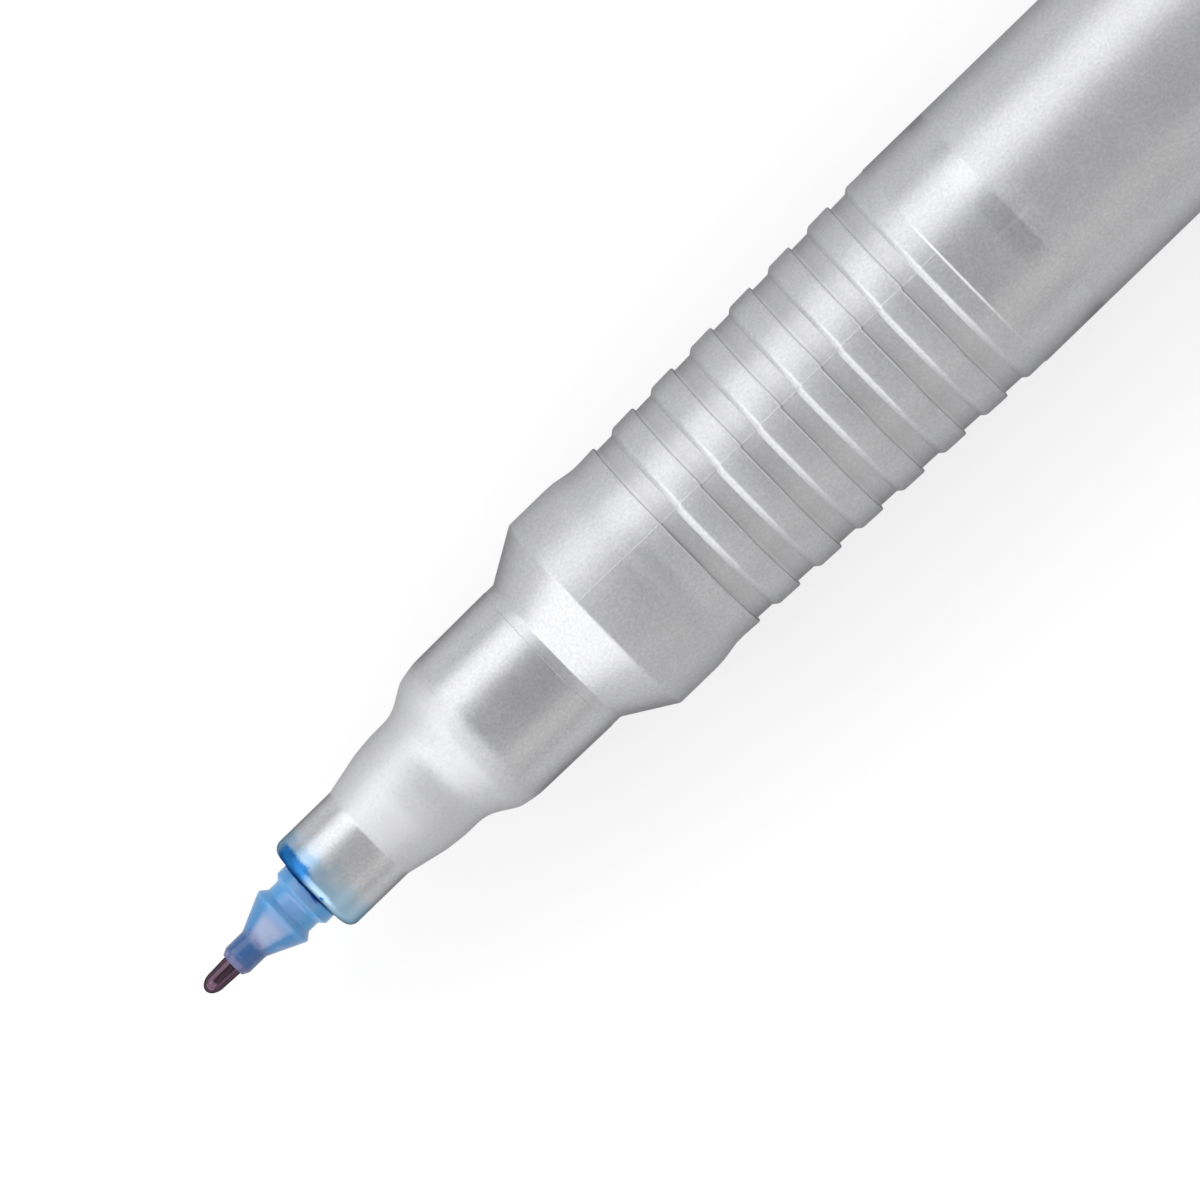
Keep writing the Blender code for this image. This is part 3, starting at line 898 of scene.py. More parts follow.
@dataclass(frozen=True)
class TintedHolder:
    """Clear plastic of the nib's holder, dyed by the ink it carries, with a painted lavender sheen on its
    top and bottom.

    Attributes:
        violet: colour of the front tube.
        shadow: colour where the nib shows through the tube.
        clear: colour of the painted lavender sheen on the top and bottom, and of the random whitish streaks.
        deep: colour of the cone.
        pool: colour of the groove and flange.
        ink: colour of the ink that stands behind the flange.
        shadow_start: where the nib begins to show through, mm behind the point.
        tube_end: end of the front tube, mm behind the point.
        lip: rear end of the cone, mm behind the point.
        ink_line: place of the standing ink, mm behind the point.
        ink_turn: its direction round the axis, rad.
        gloss: strength of the reflection.
        rough: roughness.
        skin: depth of the fine skin, mm.
    """

    violet: Colour = (0.065, 0.078, 0.204)
    shadow: Colour = (0.021, 0.078, 0.222)
    clear: Colour = (0.236, 0.285, 0.444)
    deep: Colour = (0.039, 0.188, 0.417)
    pool: Colour = (0.072, 0.271, 0.542)
    ink: Colour = (0.006, 0.062, 0.278)
    shadow_start: float = 1.85
    tube_end: float = 2.6
    lip: float = 4.1
    ink_line: float = 5.38
    ink_turn: float = math.radians(-12.0)
    gloss: float = 0.60
    rough: float = 0.30
    skin: float = 0.004

    def material(self, axis: PenAxis) -> bpy.types.Material:
        """Builds the material.

        Args:
            axis: the pen's axis.

        Returns:
            The material.
        """
        sheet = PenShader("holder_plastic", axis, Specular_IOR_Level=self.gloss)
        blot = sheet.noise(1.6, 3.0)
        fine = sheet.noise(2.5, 0.0)
        reach = sheet.along + (blot - 0.5) * 0.6
        nib_behind = sheet.span(reach, self.shadow_start, self.tube_end - 0.1, 0.12)
        tube = sheet.blend(nib_behind, self.violet, self.shadow)
        # Painted sheen: lighter lavender on the top and bottom, deep blue on the sides, made patchy by
        # noise.
        sheen_facing = (sheet.turn * 2.0).math("COSINE") + (sheet.noise(1.3, 3.0) - 0.5) * 0.9
        painted_sheen = sheet.rise(sheen_facing, 0.2, 1.0) * (1.0 - sheet.rise(reach, self.lip - 0.7, self.lip) * 0.65)
        dyed = sheet.blend(sheet.rise(reach, self.lip - 0.35, self.lip + 0.05), self.deep, self.pool)
        dyed_and_sheened = sheet.blend(painted_sheen, dyed, self.clear)
        front = sheet.blend(sheet.rise(reach, self.tube_end - 0.2, self.tube_end + 0.5), tube, dyed_and_sheened)
        streaked = sheet.blend(sheet.rise(blot, 0.58, 0.75) * 0.5, front, self.clear)
        standing = sheet.rise(sheet.along + (blot - 0.5) * 0.3, self.ink_line, self.ink_line + 0.1)
        beside = sheet.rise(abs(sheet.turn - self.ink_turn), 0.8, 0.5)
        inked = sheet.blend(standing * beside, streaked, self.ink)
        rough = self.rough + (fine - 0.5) * 0.12 + (blot - 0.5) * 0.1
        sheet.varies(Base_Color=inked, Roughness=rough, Normal=sheet.bump(fine, self.skin))
        return sheet.material


@dataclass(frozen=True)
class MouldedPlastic:
    """Plain moulded plastic with flow clouds, fine skin and light scuffs.

    Attributes:
        name: the material's name.
        colour: base colour.
        worn: colour of scuffs.
        rough: roughness.
        skin: depth of the fine skin, mm.
    """

    name: str
    colour: Colour
    worn: Colour
    rough: float
    skin: float

    def material(self) -> bpy.types.Material:
        """Builds the material.

        Returns:
            The material.
        """
        sheet = Shader(self.name)
        cloud = sheet.noise(0.22, 3.0)
        fine = sheet.noise(9.0, 2.0)
        streak = sheet.noise(1.0, 4.0, sheet.stretched(0.2, 2.5))
        scuff = sheet.rise(streak, 0.62, 0.80)
        darker = tuple(0.84 * part for part in self.colour)
        body = sheet.blend(sheet.rise(cloud, 0.3, 0.7), darker, self.colour)
        dressed = sheet.blend(scuff * 0.10, body, self.worn)
        rough = self.rough + (cloud - 0.5) * 0.06 + (fine - 0.5) * 0.05 + scuff * 0.10
        relief = fine * 0.7 + scuff * 0.3
        sheet.varies(Base_Color=dressed, Roughness=rough, Normal=sheet.bump(relief, self.skin))
        return sheet.material


@dataclass(frozen=True)
class WrapFilm:
    """Thin clear film round the ink core, with the lapped seam along it.

    Attributes:
        colour: base colour.
        lap: colour along the seam.
        lap_start: direction where the seam starts round the axis, rad.
        lap_end: direction where it ends, rad.
        rough: roughness.
        crease: depth of the creases, mm.
    """

    colour: Colour = (0.62, 0.66, 0.70)
    lap: Colour = (0.48, 0.54, 0.62)
    lap_start: float = 0.9
    lap_end: float = 1.2
    rough: float = 0.16
    crease: float = 0.02

    def material(self, axis: PenAxis) -> bpy.types.Material:
        """Builds the material.

        Args:
            axis: the pen's axis.

        Returns:
            The material.
        """
        sheet = PenShader("wrap_film", axis)
        crease = sheet.noise(0.5, 4.0, sheet.stretched(0.3, 1.5))
        seam = sheet.span(sheet.turn, self.lap_start, self.lap_end, 0.02)
        colour = sheet.blend(seam * 0.8, self.colour, self.lap)
        mottled = sheet.blend(sheet.rise(crease, 0.45, 0.7) * 0.3, colour, self.lap)
        rough = self.rough + (crease - 0.5) * 0.2 + seam * 0.06
        relief = crease * 0.6 + seam * 0.4
        sheet.varies(Base_Color=mottled, Roughness=rough, Normal=sheet.bump(relief, self.crease))
        return sheet.material


@dataclass(frozen=True)
class FloorPaper:
    """Pale studio paper that looks white where nothing shades it.

    Attributes:
        albedo: how much light it returns.
        fill: glow added for camera, mirror and glass rays.
    """

    albedo: float = 0.32
    fill: float = 0.64

    def material(self) -> bpy.types.Material:
        """Builds the material.

        Returns:
            The material.
        """
        paper = bpy.data.materials.new("studio_paper")
        paper.use_nodes = True
        tree = Tree(paper.node_tree)
        rays = tree.node("ShaderNodeLightPath")
        seen = rays["Is Camera Ray"].at_least(rays["Is Glossy Ray"]).at_least(rays["Is Transmission Ray"])
        grey = (self.albedo, self.albedo, self.albedo, 1.0)
        diffuse = tree.node("ShaderNodeBsdfDiffuse", None, {"Color": grey})
        glow = tree.node("ShaderNodeEmission", None, {"Strength": seen * self.fill})
        both = tree.node("ShaderNodeAddShader", None, {0: diffuse["BSDF"], 1: glow["Emission"]})
        tree.node("ShaderNodeOutputMaterial", None, {"Surface": both["Shader"]})
        return paper


# Sub-assemblies


def dress(piece: bpy.types.Object, body: Body, slot: Slot, *nodes: str) -> None:
    """Attaches a finished piece to the body it rides on and hides the nodes it stands for.

    Args:
        piece: the piece.
        body: the body it moves with.
        slot: the record's slot of its finish; not used.
        nodes: CAD nodes that it replaces.
    """
    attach(piece, body.value)
    if nodes:
        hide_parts(*nodes)
    LOG.info("piece %s: %d faces on %s", piece.name, len(piece.data.polygons), body.value)


@dataclass
class WritingEnd:
    """Nib and the stepped holder round it, in millimetres."""

    lathe: Lathe
    facets: int = 96
    nib_radius: float = 0.425
    nib_round: float = 0.05
    point_radius: float = 0.39
    point_length: float = 0.58
    nib_rear: float = 31.01
    hole_gap: float = 0.05
    hole_round: float = 0.03
    tube_front: float = 1.43
    tube_radius: float = 0.65
    tube_chamfer: float = 0.26
    tube_round: float = 0.15
    cone_start: float = 2.56
    cone_round: float = 0.30
    lip: float = 4.03
    lip_round: float = 0.10
    lip_land: float = 0.08
    land_round: float = 0.06
    groove_start: float = 4.38
    groove_end: float = 4.86
    groove_radius: float = 1.0975
    groove_round: float = 0.15
    flange_start: float = 5.06
    flange_radius: float = 1.3175
    flange_end: float = 5.51
    flange_round: float = 0.05
    spigot_radius: float = 1.2025
    spigot_end: float = 12.91
    spigot_round: float = 0.1
    chamfer: float = 0.35
    fine_round: float = 0.02

    def build_nib(self) -> None:
        """Turns the nib."""
        tip = swell(Corner(0.0, 0.0), Corner(self.point_length, self.point_radius), True)
        corners = [
            *tip,
            Corner(self.tube_front, self.nib_radius),
            Corner(self.nib_rear, self.nib_radius, self.nib_round),
            Corner(self.nib_rear, 0.0),
        ]
        fibre = InkedFibre(
            name="nib_fibre",
            dark=(0.069, 0.043, 0.060),
            light=(0.122, 0.075, 0.106),
            rough=0.17,
            strands=14.0,
            depth=0.002,
            sheen=0.85,
            edge=(0.04, 0.03, 0.04),
        )
        nib = self.lathe.turn("nib_rod", Profile(corners), fibre.material(), self.facets)
        dress(nib, Body.PEN, Slot.NIB, "nib")

    def build_holder(self) -> None:
        """Turns the holder."""
        hole = self.nib_radius + self.hole_gap
        corners = [
            Corner(self.tube_front, hole, self.hole_round),
            Corner(self.tube_front, self.tube_radius - self.tube_chamfer / 2, self.fine_round),
            Corner(self.tube_front + self.tube_chamfer, self.tube_radius, self.tube_round),
            Corner(self.cone_start, self.tube_radius, self.cone_round),
            Corner(self.lip, self.flange_radius, self.lip_round),
            Corner(self.lip + self.lip_land, self.flange_radius, self.land_round),
            Corner(self.groove_start, self.groove_radius, self.groove_round),
            Corner(self.groove_end, self.groove_radius, self.groove_round),
            Corner(self.flange_start, self.flange_radius, self.land_round),
            Corner(self.flange_end, self.flange_radius, self.flange_round),
            Corner(self.flange_end, self.spigot_radius, self.fine_round),
            Corner(self.spigot_end - self.chamfer, self.spigot_radius, self.spigot_round),
            Corner(self.spigot_end, self.spigot_radius - self.chamfer, self.spigot_round),
            Corner(self.spigot_end, hole, self.hole_round),
        ]
        finish = TintedHolder().material(self.lathe.axis)
        holder = self.lathe.turn("holder_body", Profile(corners, closed=True), finish, self.facets)
        dress(holder, Body.PEN, Slot.HOLDER, "nib_holder")

    def build(self) -> None:
        """Builds the nib and its holder."""
        self.build_nib()
        self.build_holder()


@dataclass
class Barrel:
    """Moulded barrel and its grip bands, in millimetres."""

    lathe: Lathe
    facets: int = 224
    nose_front: float = 5.56
    nose_radius: float = 2.1225
    nose_round: float = 0.72
    nose_bore: float = 1.2525
    nose_bore_round: float = 0.08
    taper_start: float = 8.60
    taper_round: float = 0.6
    taper_end: float = 10.30
    taper_radius: float = 2.50
    taper_ease: float = 4.0
    waist_start: float = 11.17
    waist_radius: float = 2.588
    waist_ease: float = 5.0
    flare_start: float = 12.30
    flare_radius: float = 2.60
    flare_ease: float = 1.6
    flare_top: float = 13.42
    flare_top_radius: float = 3.28
    flare_top_ease: float = 1.1
    neck_start: float = 14.25
    neck_front_radius: float = 3.43
    neck_radius: float = 3.475
    neck_ease: float = 2.6
    neck_line: float = 18.05
    neck_line_drop: float = 0.015
    neck_line_width: float = 0.02
    line_round: float = 0.01
    shoulder_start: float = 18.50
    shoulder_round: float = 0.12
    ring_start: float = 20.50
    ring_radius: float = 4.66
    ring_round: float = 0.30
    dip_start: float = 22.80
    dip_start_ease: float = 3.6
    dip_radius: float = 4.475
    dip_ease: float = 2.6
    grip_start: float = 23.62
    grip_front_radius: float = 4.50
    grip_rear_radius: float = 4.965
    collar_start: float = 38.478
    body_start: float = 39.301
    body_step: float = 0.035
    body_step_length: float = 0.10
    body_step_round: float = 0.08
    body_radius: float = 5.0
    rear: float = 116.701
    rear_chamfer: float = 0.25
    rear_round: float = 0.1
    bore: float = 3.8
    throat: float = 2.425
    seat_end: float = 12.96
    throat_start: float = 14.86
    core_step: float = 23.96
    bands: int = 7
    band_front: float = 25.85
    first_width: float = 1.18
    band_width: float = 1.063
    groove_depth: float = 0.165
    groove_round: float = 0.03
    front_slope: float = 0.21
    front_round: float = 0.29
    rear_slope: float = 0.005
    rear_edge: float = 0.06
    rear_edge_drop: float = 0.020
    rear_edge_round: float = 0.02
    band_sink: float = 0.08
    foot_run: float = 1.5
    finish: PearlPlastic = field(default_factory=PearlPlastic)

    def grip_radius(self, along: float) -> float:
        """Radius of the cone that the tops of the bands lie on."""
        share = (along - self.grip_start) / (self.collar_start - self.grip_start)
        return self.grip_front_radius + (self.grip_rear_radius - self.grip_front_radius) * share

    def outside(self) -> list[Corner]:
        """Lays out the outside.

        Returns:
            Its corners from the nose's face to the open rear end.
        """
        below_line = self.neck_radius - self.neck_line_drop
        floor_start = self.grip_start + self.first_width
        floor_end = self.collar_start
        top_start = self.grip_radius(floor_start)
        top_end = self.grip_radius(floor_end)
        return [
            Corner(self.nose_front, self.nose_radius, self.nose_round),
            Corner(self.taper_start, self.nose_radius, self.taper_round),
            Corner(self.taper_end, self.taper_radius, self.taper_ease),
            Corner(self.waist_start, self.waist_radius, self.waist_ease),
            Corner(self.flare_start, self.flare_radius, self.flare_ease),
            Corner(self.flare_top, self.flare_top_radius, self.flare_top_ease),
            Corner(self.neck_start, self.neck_front_radius, self.neck_ease),
            Corner(self.neck_line, self.neck_radius, self.line_round),
            Corner(self.neck_line + self.neck_line_width, below_line, self.line_round),
            Corner(self.shoulder_start, below_line, self.shoulder_round),
            Corner(self.ring_start, self.ring_radius, self.ring_round),
            Corner(self.dip_start, self.ring_radius, self.dip_start_ease),
            Corner(self.grip_start, self.dip_radius, self.dip_ease),
            Corner(floor_start - self.rear_edge, top_start, self.rear_edge_round),
            Corner(floor_start, top_start - self.rear_edge_drop),
            Corner(floor_start + self.rear_slope, top_start - self.groove_depth),
            Corner(floor_end - self.front_slope, top_end - self.groove_depth, self.groove_round),
            Corner(floor_end, top_end, self.front_round),
            Corner(self.body_start, self.body_radius - self.body_step, self.line_round),
            Corner(self.body_start + self.body_step_length, self.body_radius, self.body_step_round),
            Corner(self.rear - self.rear_chamfer, self.body_radius, self.rear_round),
            Corner(self.rear, self.body_radius - self.rear_chamfer, self.rear_round),
        ]

    def inside(self) -> list[Corner]:
        """Lays out the bore.

        Returns:
            Its corners from the rear end to the nose.
        """
        return [
            Corner(self.rear, self.bore, self.rear_round),
            Corner(self.core_step, self.bore),
            Corner(self.core_step, self.throat),
            Corner(self.throat_start, self.throat),
            Corner(self.seat_end, self.nose_bore),
            Corner(self.nose_front, self.nose_bore, self.nose_bore_round),
        ]

    def build_shell(self, finish: bpy.types.Material) -> None:
        """Turns the barrel.

        Args:
            finish: its material.
        """
        profile = Profile([*self.outside(), *self.inside()], closed=True)
        shell = self.lathe.turn("barrel_shell", profile, finish, self.facets)
        dress(shell, Body.PEN, Slot.BARREL, "barrel")

    def build_bands(self, finish: bpy.types.Material) -> None:
        """Makes the row of grip bands behind the first one.

        Args:
            finish: its material.
        """
        front = self.band_front
        wall = front + self.band_width
        top_front = self.grip_radius(front)
        top_rear = self.grip_radius(wall)
        foot = top_front - self.groove_depth - self.band_sink
        corners = [
            Corner(front - self.front_slope * self.foot_run, foot),
            Corner(front, top_front, self.front_round),
            Corner(wall - self.rear_edge, top_rear, self.rear_edge_round),
            Corner(wall, top_rear - self.rear_edge_drop),
            Corner(wall + self.rear_slope, foot),
        ]
        pitch = self.finish.pitch
        sizes = {
            **self.lathe.sizes(finish, self.facets),
            "Bands": self.bands - 1,
            "Pitch": pitch * MM,
            "Growth": (self.grip_radius(front + pitch) - top_front) / top_front,
            "Parting Angle": self.finish.parting_turn,
            "Mould Mismatch": self.finish.mismatch * MM,
        }
        section = self.lathe.section("grip_bands", Profile(corners, closed=True))
        dress(BandRow(self.lathe).apply(section, sizes), Body.PEN, Slot.BARREL)

    def build(self) -> None:
        """Builds the barrel and its bands."""
        finish = self.finish.material(self.lathe.axis)
        self.build_shell(finish)
        self.build_bands(finish)


@dataclass
class InkStore:
    """Ink core and its film, kept as packed, with finishes of their own."""

    axis: PenAxis

    def dress_nodes(self, nodes: dict[str, bpy.types.Object]) -> None:
        """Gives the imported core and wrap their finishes.

        Args:
            nodes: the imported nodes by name.
        """
        fibre = InkedFibre(
            name="core_fibre",
            dark=(0.035, 0.085, 0.250),
            light=(0.130, 0.250, 0.520),
            rough=0.80,
            strands=9.0,
            depth=0.03,
        )
        finishes = {"ink_core": fibre.material(), "core_wrap": WrapFilm().material(self.axis)}
        for name, finish in finishes.items():
            nodes[name].data.materials.clear()
            nodes[name].data.materials.append(finish)
            LOG.info("node %s keeps its packed shape", name)


@dataclass
class RearPlug:
    """Hollow plug that closes the barrel and carries the posted cap, in millimetres."""

    lathe: Lathe
    facets: int = 128
    front: float = 105.701
    spigot_radius: float = 3.75
    spigot_chamfer: float = 0.5
    flange_start: float = 116.751
    flange_radius: float = 4.955
    flange_round: float = 0.3
    post_start: float = 117.951
    post_radius: float = 3.475
    post_end: float = 124.451
    post_round: float = 0.7
    hollow_radius: float = 2.575
    hollow_end: float = 123.251
    hollow_round: float = 0.4
    edge_round: float = 0.1

    def build(self, finish: bpy.types.Material) -> None:
        """Turns the plug.

        Args:
            finish: its material.
        """
        corners = [
            Corner(self.hollow_end, 0.0),
            Corner(self.hollow_end, self.hollow_radius, self.hollow_round),
            Corner(self.front, self.hollow_radius, self.edge_round),
            Corner(self.front, self.spigot_radius - self.spigot_chamfer, self.edge_round),
            Corner(self.front + self.spigot_chamfer, self.spigot_radius, self.edge_round),
            Corner(self.flange_start, self.spigot_radius),
            Corner(self.flange_start, self.flange_radius, self.flange_round),
            Corner(self.post_start, self.flange_radius, self.flange_round),
            Corner(self.post_start, self.post_radius, self.edge_round),
            Corner(self.post_end, self.post_radius, self.post_round),
            Corner(self.post_end, 0.0),
        ]
        plug = self.lathe.turn("plug_body", Profile(corners), finish, self.facets)
        dress(plug, Body.PEN, Slot.BLUE, "rear_plug")


@dataclass
class Cap:
    """Outer cap with its clip, and the sealing cup inside, in millimetres behind the cap's rim."""

    lathe: Lathe
    facets: int = 160
    edge_round: float = 0.1
    floor_round: float = 0.3
    rim_radius: float = 4.955
    rim_length: float = 3.0
    rim_round: float = 0.2
    body_radius: float = 4.835
    step: float = 0.12
    step_round: float = 0.06
    end: float = 33.9715
    end_radius: float = 4.505
    end_round: float = 0.8
    end_wall: float = 1.4
    tail_bore: float = 3.255
    ledge: float = 22.5715
    bore: float = 3.995
    mouth: float = 4.245
    liner_front: float = 0.8439
    liner_floor: float = 21.7215
    liner_rear: float = 22.5215
    liner_bore: float = 3.525
    liner_radius: float = 3.945
    liner_lead: float = 0.6
    liner_lead_round: float = 0.2
    liner_lip: float = 0.21
    liner_lip_round: float = 0.05
    liner_facets: int = 128
    clip_front: float = 6.0715
    clip_rear: float = 33.0715
    clip_inner: float = 6.055
    clip_outer: float = 7.355
    clip_bump: float = 5.305
    clip_bump_length: float = 3.6
    clip_nose: float = 0.6
    clip_corner: float = 0.9
    clip_root: float = 3.4
    clip_sink: float = 0.45
    clip_width: float = 4.0
    clip_edge: float = 0.25
    clip_edge_steps: int = 4
    clip_edge_angle: float = math.radians(60.0)
    clip_tip_round: float = 0.15
    clip_droop: float = 0.467

    def rim(self) -> float:
        """Place of the cap's rim behind the nib's point, mm."""
        return self.lathe.axis.along(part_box("cap")[1][0])

    def build_shell(self, finish: bpy.types.Material) -> None:
        """Turns the cap.

        Args:
            finish: its material.
        """
        rim = self.rim()
        corners = [
            Corner(rim + self.end - self.end_wall, 0.0),
            Corner(rim + self.end - self.end_wall, self.tail_bore, self.floor_round),
            Corner(rim + self.ledge, self.tail_bore, self.edge_round),
            Corner(rim + self.ledge, self.bore),
            Corner(rim + self.liner_front, self.bore, self.edge_round),
            Corner(rim, self.mouth, self.edge_round),
            Corner(rim, self.rim_radius, self.rim_round),
            Corner(rim + self.rim_length, self.rim_radius, self.step_round),
            Corner(rim + self.rim_length + self.step, self.body_radius, self.step_round),
            Corner(rim + self.end, self.end_radius, self.end_round),
            Corner(rim + self.end, 0.0),
        ]
        shell = self.lathe.turn("cap_shell", Profile(corners), finish, self.facets)
        dress(shell, Body.CAP, Slot.BLUE, "cap")

    def build_liner(self, finish: bpy.types.Material) -> None:
        """Turns the sealing cup.

        Args:
            finish: its material.
        """
        rim = self.rim()
        corners = [
            Corner(rim + self.liner_floor, 0.0),
            Corner(rim + self.liner_floor, self.liner_bore, self.floor_round),
            Corner(rim + self.liner_front + self.liner_lead, self.liner_bore, self.liner_lead_round),
            Corner(rim + self.liner_front, self.liner_radius - self.liner_lip, self.liner_lip_round),
            Corner(rim + self.liner_front, self.liner_radius, self.liner_lip_round),
            Corner(rim + self.liner_rear, self.liner_radius, self.edge_round),
            Corner(rim + self.liner_rear, 0.0),
        ]
        liner = self.lathe.turn("liner_cup", Profile(corners), finish, self.liner_facets)
        dress(liner, Body.CAP, Slot.LINER, "cap_liner")

    def clip_outline(self) -> list[Vector]:
        """Lays out the clip.

        Returns:
            Its side view as (depth, radius) points.
        """
        root = self.end_radius - self.clip_sink
        root_front = self.clip_rear - self.clip_root
        bump = self.clip_front + self.clip_nose + self.clip_bump_length / 2
        bump_end = bump + self.clip_bump_length / 2
        corners = [
            Corner(self.clip_rear, root),
            Corner(self.clip_rear, self.clip_outer, self.clip_corner),
            Corner(self.clip_front, self.clip_outer, self.clip_nose),
            Corner(self.clip_front, self.clip_inner, self.clip_tip_round),
            *swell(Corner(self.clip_front, self.clip_inner), Corner(bump, self.clip_bump), True)[1:],
            *swell(Corner(bump, self.clip_bump), Corner(bump_end, self.clip_inner), False)[1:],
            Corner(root_front, self.clip_inner, self.clip_corner),
            Corner(root_front, root),
        ]
        return Profile(corners).points()

    def build_clip(self, finish: bpy.types.Material) -> None:
        """Makes the clip: its side outline with a width, edges rounded.

        Args:
            finish: its material.
        """
        outward = Vector((0.0, -math.cos(self.clip_droop), -math.sin(self.clip_droop)))
        sideways = outward.cross(Vector((1.0, 0.0, 0.0)))
        rim = self.rim()
        shape = bmesh.new()
        rows = []
        for half in (-self.clip_width / 2, self.clip_width / 2):
            row = []
            for depth, radius in self.clip_outline():
                across = outward * radius + sideways * half
                row.append(shape.verts.new(self.lathe.axis.world(rim + depth, across)))
            rows.append(row)
        count = len(rows[0])
        for place in range(count):
            after = (place + 1) % count
            shape.faces.new((rows[0][place], rows[0][after], rows[1][after], rows[1][place]))
        shape.faces.new(rows[0][::-1])
        shape.faces.new(rows[1])
        bmesh.ops.remove_doubles(shape, verts=shape.verts, dist=MERGE)
        bmesh.ops.recalc_face_normals(shape, faces=shape.faces)
        for face in shape.faces:
            face.smooth = True
        mesh = bpy.data.meshes.new("cap_clip")
        shape.to_mesh(mesh)
        shape.free()
        mesh.materials.append(finish)
        clip = new_piece("cap_clip", mesh)
        edge = clip.modifiers.new("edge", "BEVEL")
        edge.width = self.clip_edge * MM
        edge.segments = self.clip_edge_steps
        edge.limit_method = "ANGLE"
        edge.angle_limit = self.clip_edge_angle
        edge.use_clamp_overlap = False
        dress(bake(clip), Body.CAP, Slot.BLUE, "cap")

    def build(self, blue: bpy.types.Material) -> None:
        """Builds the cap.

        Args:
            blue: material of the shell and clip.
        """
        self.build_shell(blue)
        self.build_clip(blue)
        white = MouldedPlastic(
            name="liner_plastic",
            colour=(0.75, 0.76, 0.74),
            worn=(0.60, 0.62, 0.62),
            rough=0.42,
            skin=0.004,
        )
        self.build_liner(white.material())


# Studio


@dataclass(frozen=True)
class SoftBox:
    """Large soft lamp aimed at the marker.

    Attributes:
        name: the lamp's name.
        towards: direction from the marker to the lamp.
        distance: distance to it, m.
        length: size along its first side, m.
        width: size across, m.
        power: power, W.
        colour: colour of its light.
    """

    name: str
    towards: tuple[float, float, float]
    distance: float
    length: float
    width: float
    power: float
    colour: Colour = (1.0, 1.0, 1.0)

    def build(self, target: Vector) -> None:
        """Places the lamp.

        Args:
            target: the point it lights.
        """
        lamp = bpy.data.lights.new(self.name, "AREA")
        lamp.shape = "RECTANGLE"
        lamp.size = self.length
        lamp.size_y = self.width
        lamp.energy = self.power
        lamp.color = self.colour
        stand = bpy.data.objects.new(self.name, lamp)
        bpy.context.scene.collection.objects.link(stand)
        away = Vector(self.towards).normalized()
        first = Vector((0.0, 0.0, 1.0)).cross(away).normalized()
        turned = Matrix((first, away.cross(first), away)).transposed()
        stand.matrix_world = Matrix.Translation(target + away * self.distance) @ turned.to_4x4()
        stand.visible_camera = False
        LOG.info("lamp %s", self.name)


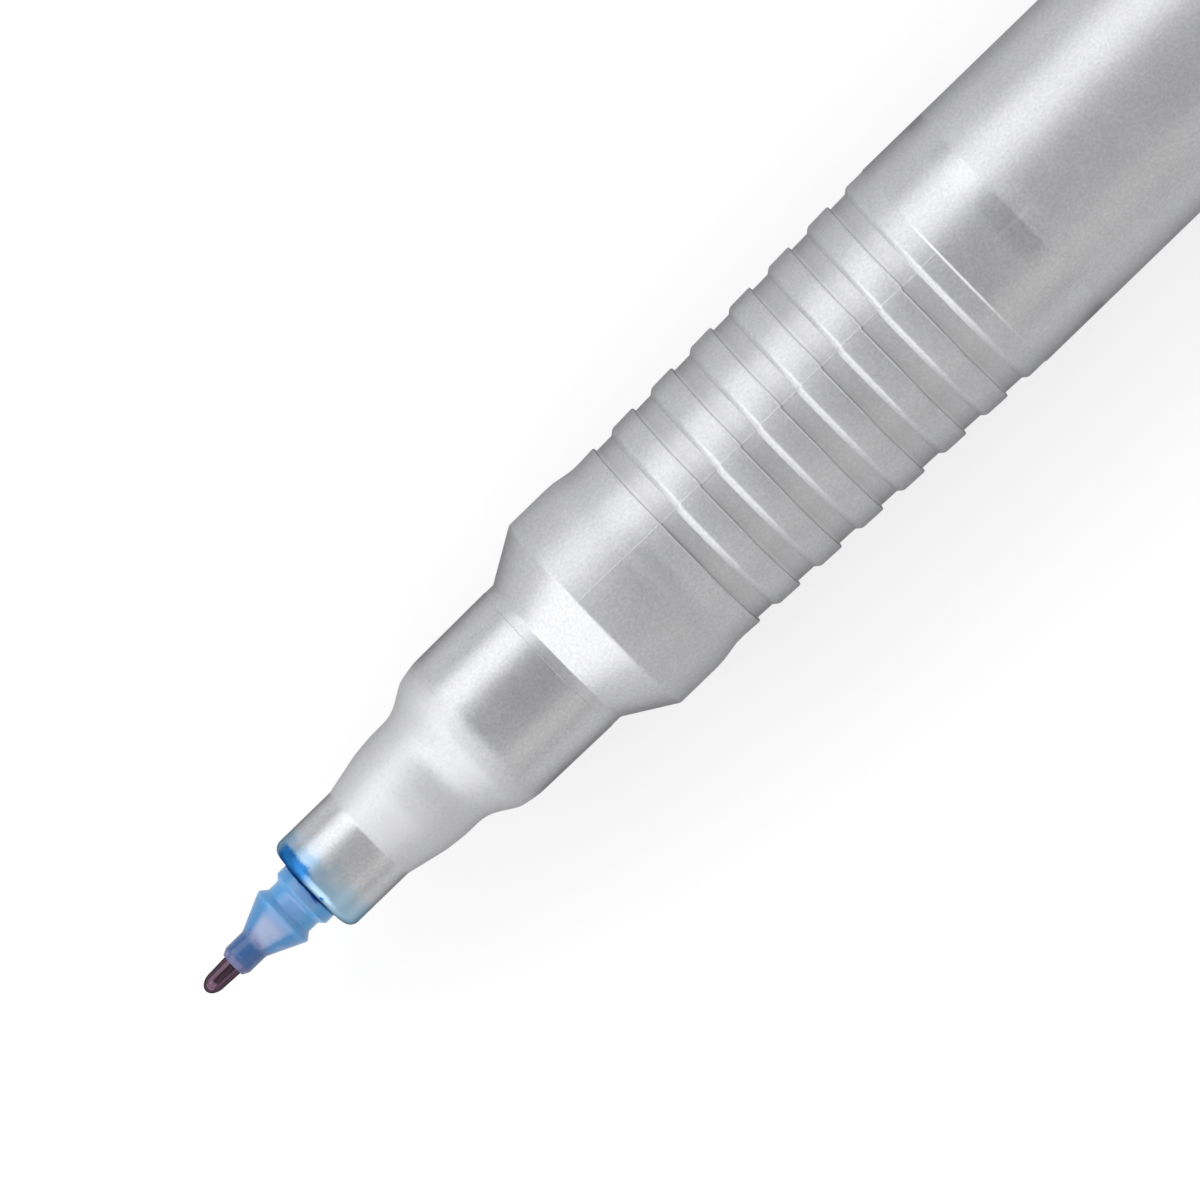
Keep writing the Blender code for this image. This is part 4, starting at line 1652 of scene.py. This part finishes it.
@dataclass
class Studio:
    """Floor, lamps, world and the camera at the photograph's angle."""

    axis: PenAxis
    floor_half: float = 6.0
    floor_drop: float = 0.00003
    world_level: float = 0.274
    middle_along: float = 21.0
    middle_across: float = 0.245
    frame_width: float = 0.04528
    distance: float = 0.7
    lean: float = math.radians(2.5)
    slant: float = math.radians(44.1)
    sensor: float = 36.0
    clip_near: float = 0.01
    clip_far: float = 20.0
    key_tilt: float = math.radians(54.0)
    fill_tilt: float = math.radians(64.0)
    low_tilt: float = math.radians(69.0)
    high_tilt: float = math.radians(36.0)
    back_tilt: float = math.radians(52.0)

    def target(self) -> Vector:
        """Point in the middle of the photograph's frame."""
        return self.axis.world(self.middle_along, Vector((0.0, -self.middle_across, 0.0)))

    def build_floor(self) -> None:
        """Lays the floor."""
        half = self.floor_half
        mesh = bpy.data.meshes.new("studio_floor")
        corners = [(-half, -half), (half, -half), (half, half), (-half, half)]
        mesh.from_pydata([(x, y, -self.floor_drop) for x, y in corners], [], [(0, 1, 2, 3)])
        mesh.materials.append(FloorPaper().material())
        new_piece("studio_floor", mesh)

    def build_lamps(self) -> None:
        """Hangs the lamps."""
        boxes = (
            SoftBox(
                name="key_box",
                towards=(0.08, -math.sin(self.key_tilt), math.cos(self.key_tilt)),
                distance=0.45,
                length=0.70,
                width=0.36,
                power=1.44,
            ),
            SoftBox(
                name="fill_box",
                towards=(0.06, math.sin(self.fill_tilt), math.cos(self.fill_tilt)),
                distance=0.45,
                length=0.50,
                width=0.28,
                power=0.317,
                colour=(1.0, 0.99, 0.97),
            ),
            SoftBox(
                name="front_box",
                towards=(math.sin(self.low_tilt), 0.05, math.cos(self.low_tilt)),
                distance=0.5,
                length=1.00,
                width=0.21,
                power=1.62,
            ),
            SoftBox(
                name="front_high_box",
                towards=(math.sin(self.high_tilt), 0.03, math.cos(self.high_tilt)),
                distance=0.5,
                length=0.80,
                width=0.30,
                power=1.33,
            ),
            SoftBox(
                name="back_box",
                towards=(-math.sin(self.back_tilt), -0.04, math.cos(self.back_tilt)),
                distance=0.6,
                length=1.05,
                width=0.46,
                power=2.16,
            ),
        )
        for box in boxes:
            box.build(self.target())

    def build_world(self) -> None:
        """Sets the dim room round the lamps."""
        world = bpy.data.worlds.new("studio_room")
        world.use_nodes = True
        tree = Tree(world.node_tree)
        grey = (self.world_level, self.world_level, self.world_level, 1.0)
        room = tree.node("ShaderNodeBackground", None, {"Color": grey, "Strength": 1.0})
        tree.node("ShaderNodeOutputWorld", None, {"Surface": room["Background"]})
        bpy.context.scene.world = world

    def build_camera(self) -> None:
        """Sets the camera at the photograph's viewing angle."""
        view = bpy.data.cameras.new("photo_camera")
        view.sensor_fit = "HORIZONTAL"
        view.sensor_width = self.sensor
        view.lens = self.sensor * self.distance / self.frame_width
        view.clip_start = self.clip_near
        view.clip_end = self.clip_far
        camera = bpy.data.objects.new("photo_camera", view)
        bpy.context.scene.collection.objects.link(camera)
        back = Vector((-math.sin(self.lean), 0.0, math.cos(self.lean)))
        tail = Vector((-1.0, 0.0, 0.0))
        rearward = (tail - back * back.dot(tail)).normalized()
        beside = back.cross(rearward)
        right = rearward * math.cos(self.slant) - beside * math.sin(self.slant)
        up = back.cross(right)
        turned = Matrix((right, up, back)).transposed()
        camera.matrix_world = Matrix.Translation(self.target() + back * self.distance) @ turned.to_4x4()
        bpy.context.scene.camera = camera

    def build(self) -> None:
        """Builds the studio."""
        self.build_floor()
        self.build_lamps()
        self.build_world()
        self.build_camera()
        bpy.context.scene.view_settings.view_transform = "Standard"


def main() -> None:
    """Builds the sub-assemblies in order."""
    logging.basicConfig(level=logging.INFO, format="%(name)s: %(message)s")
    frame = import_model()
    axis = PenAxis.from_frame()
    lathe = Lathe(axis)
    WritingEnd(lathe).build()
    Barrel(lathe).build()
    InkStore(axis).dress_nodes(frame["nodes"])
    plastic = MouldedPlastic(
        name="blue_plastic",
        colour=(0.006, 0.090, 0.360),
        worn=(0.120, 0.240, 0.520),
        rough=0.26,
        skin=0.003,
    )
    blue = plastic.material()
    RearPlug(lathe).build(blue)
    Cap(lathe).build(blue)
    Studio(axis).build()


if __name__ == "__main__":
    main()
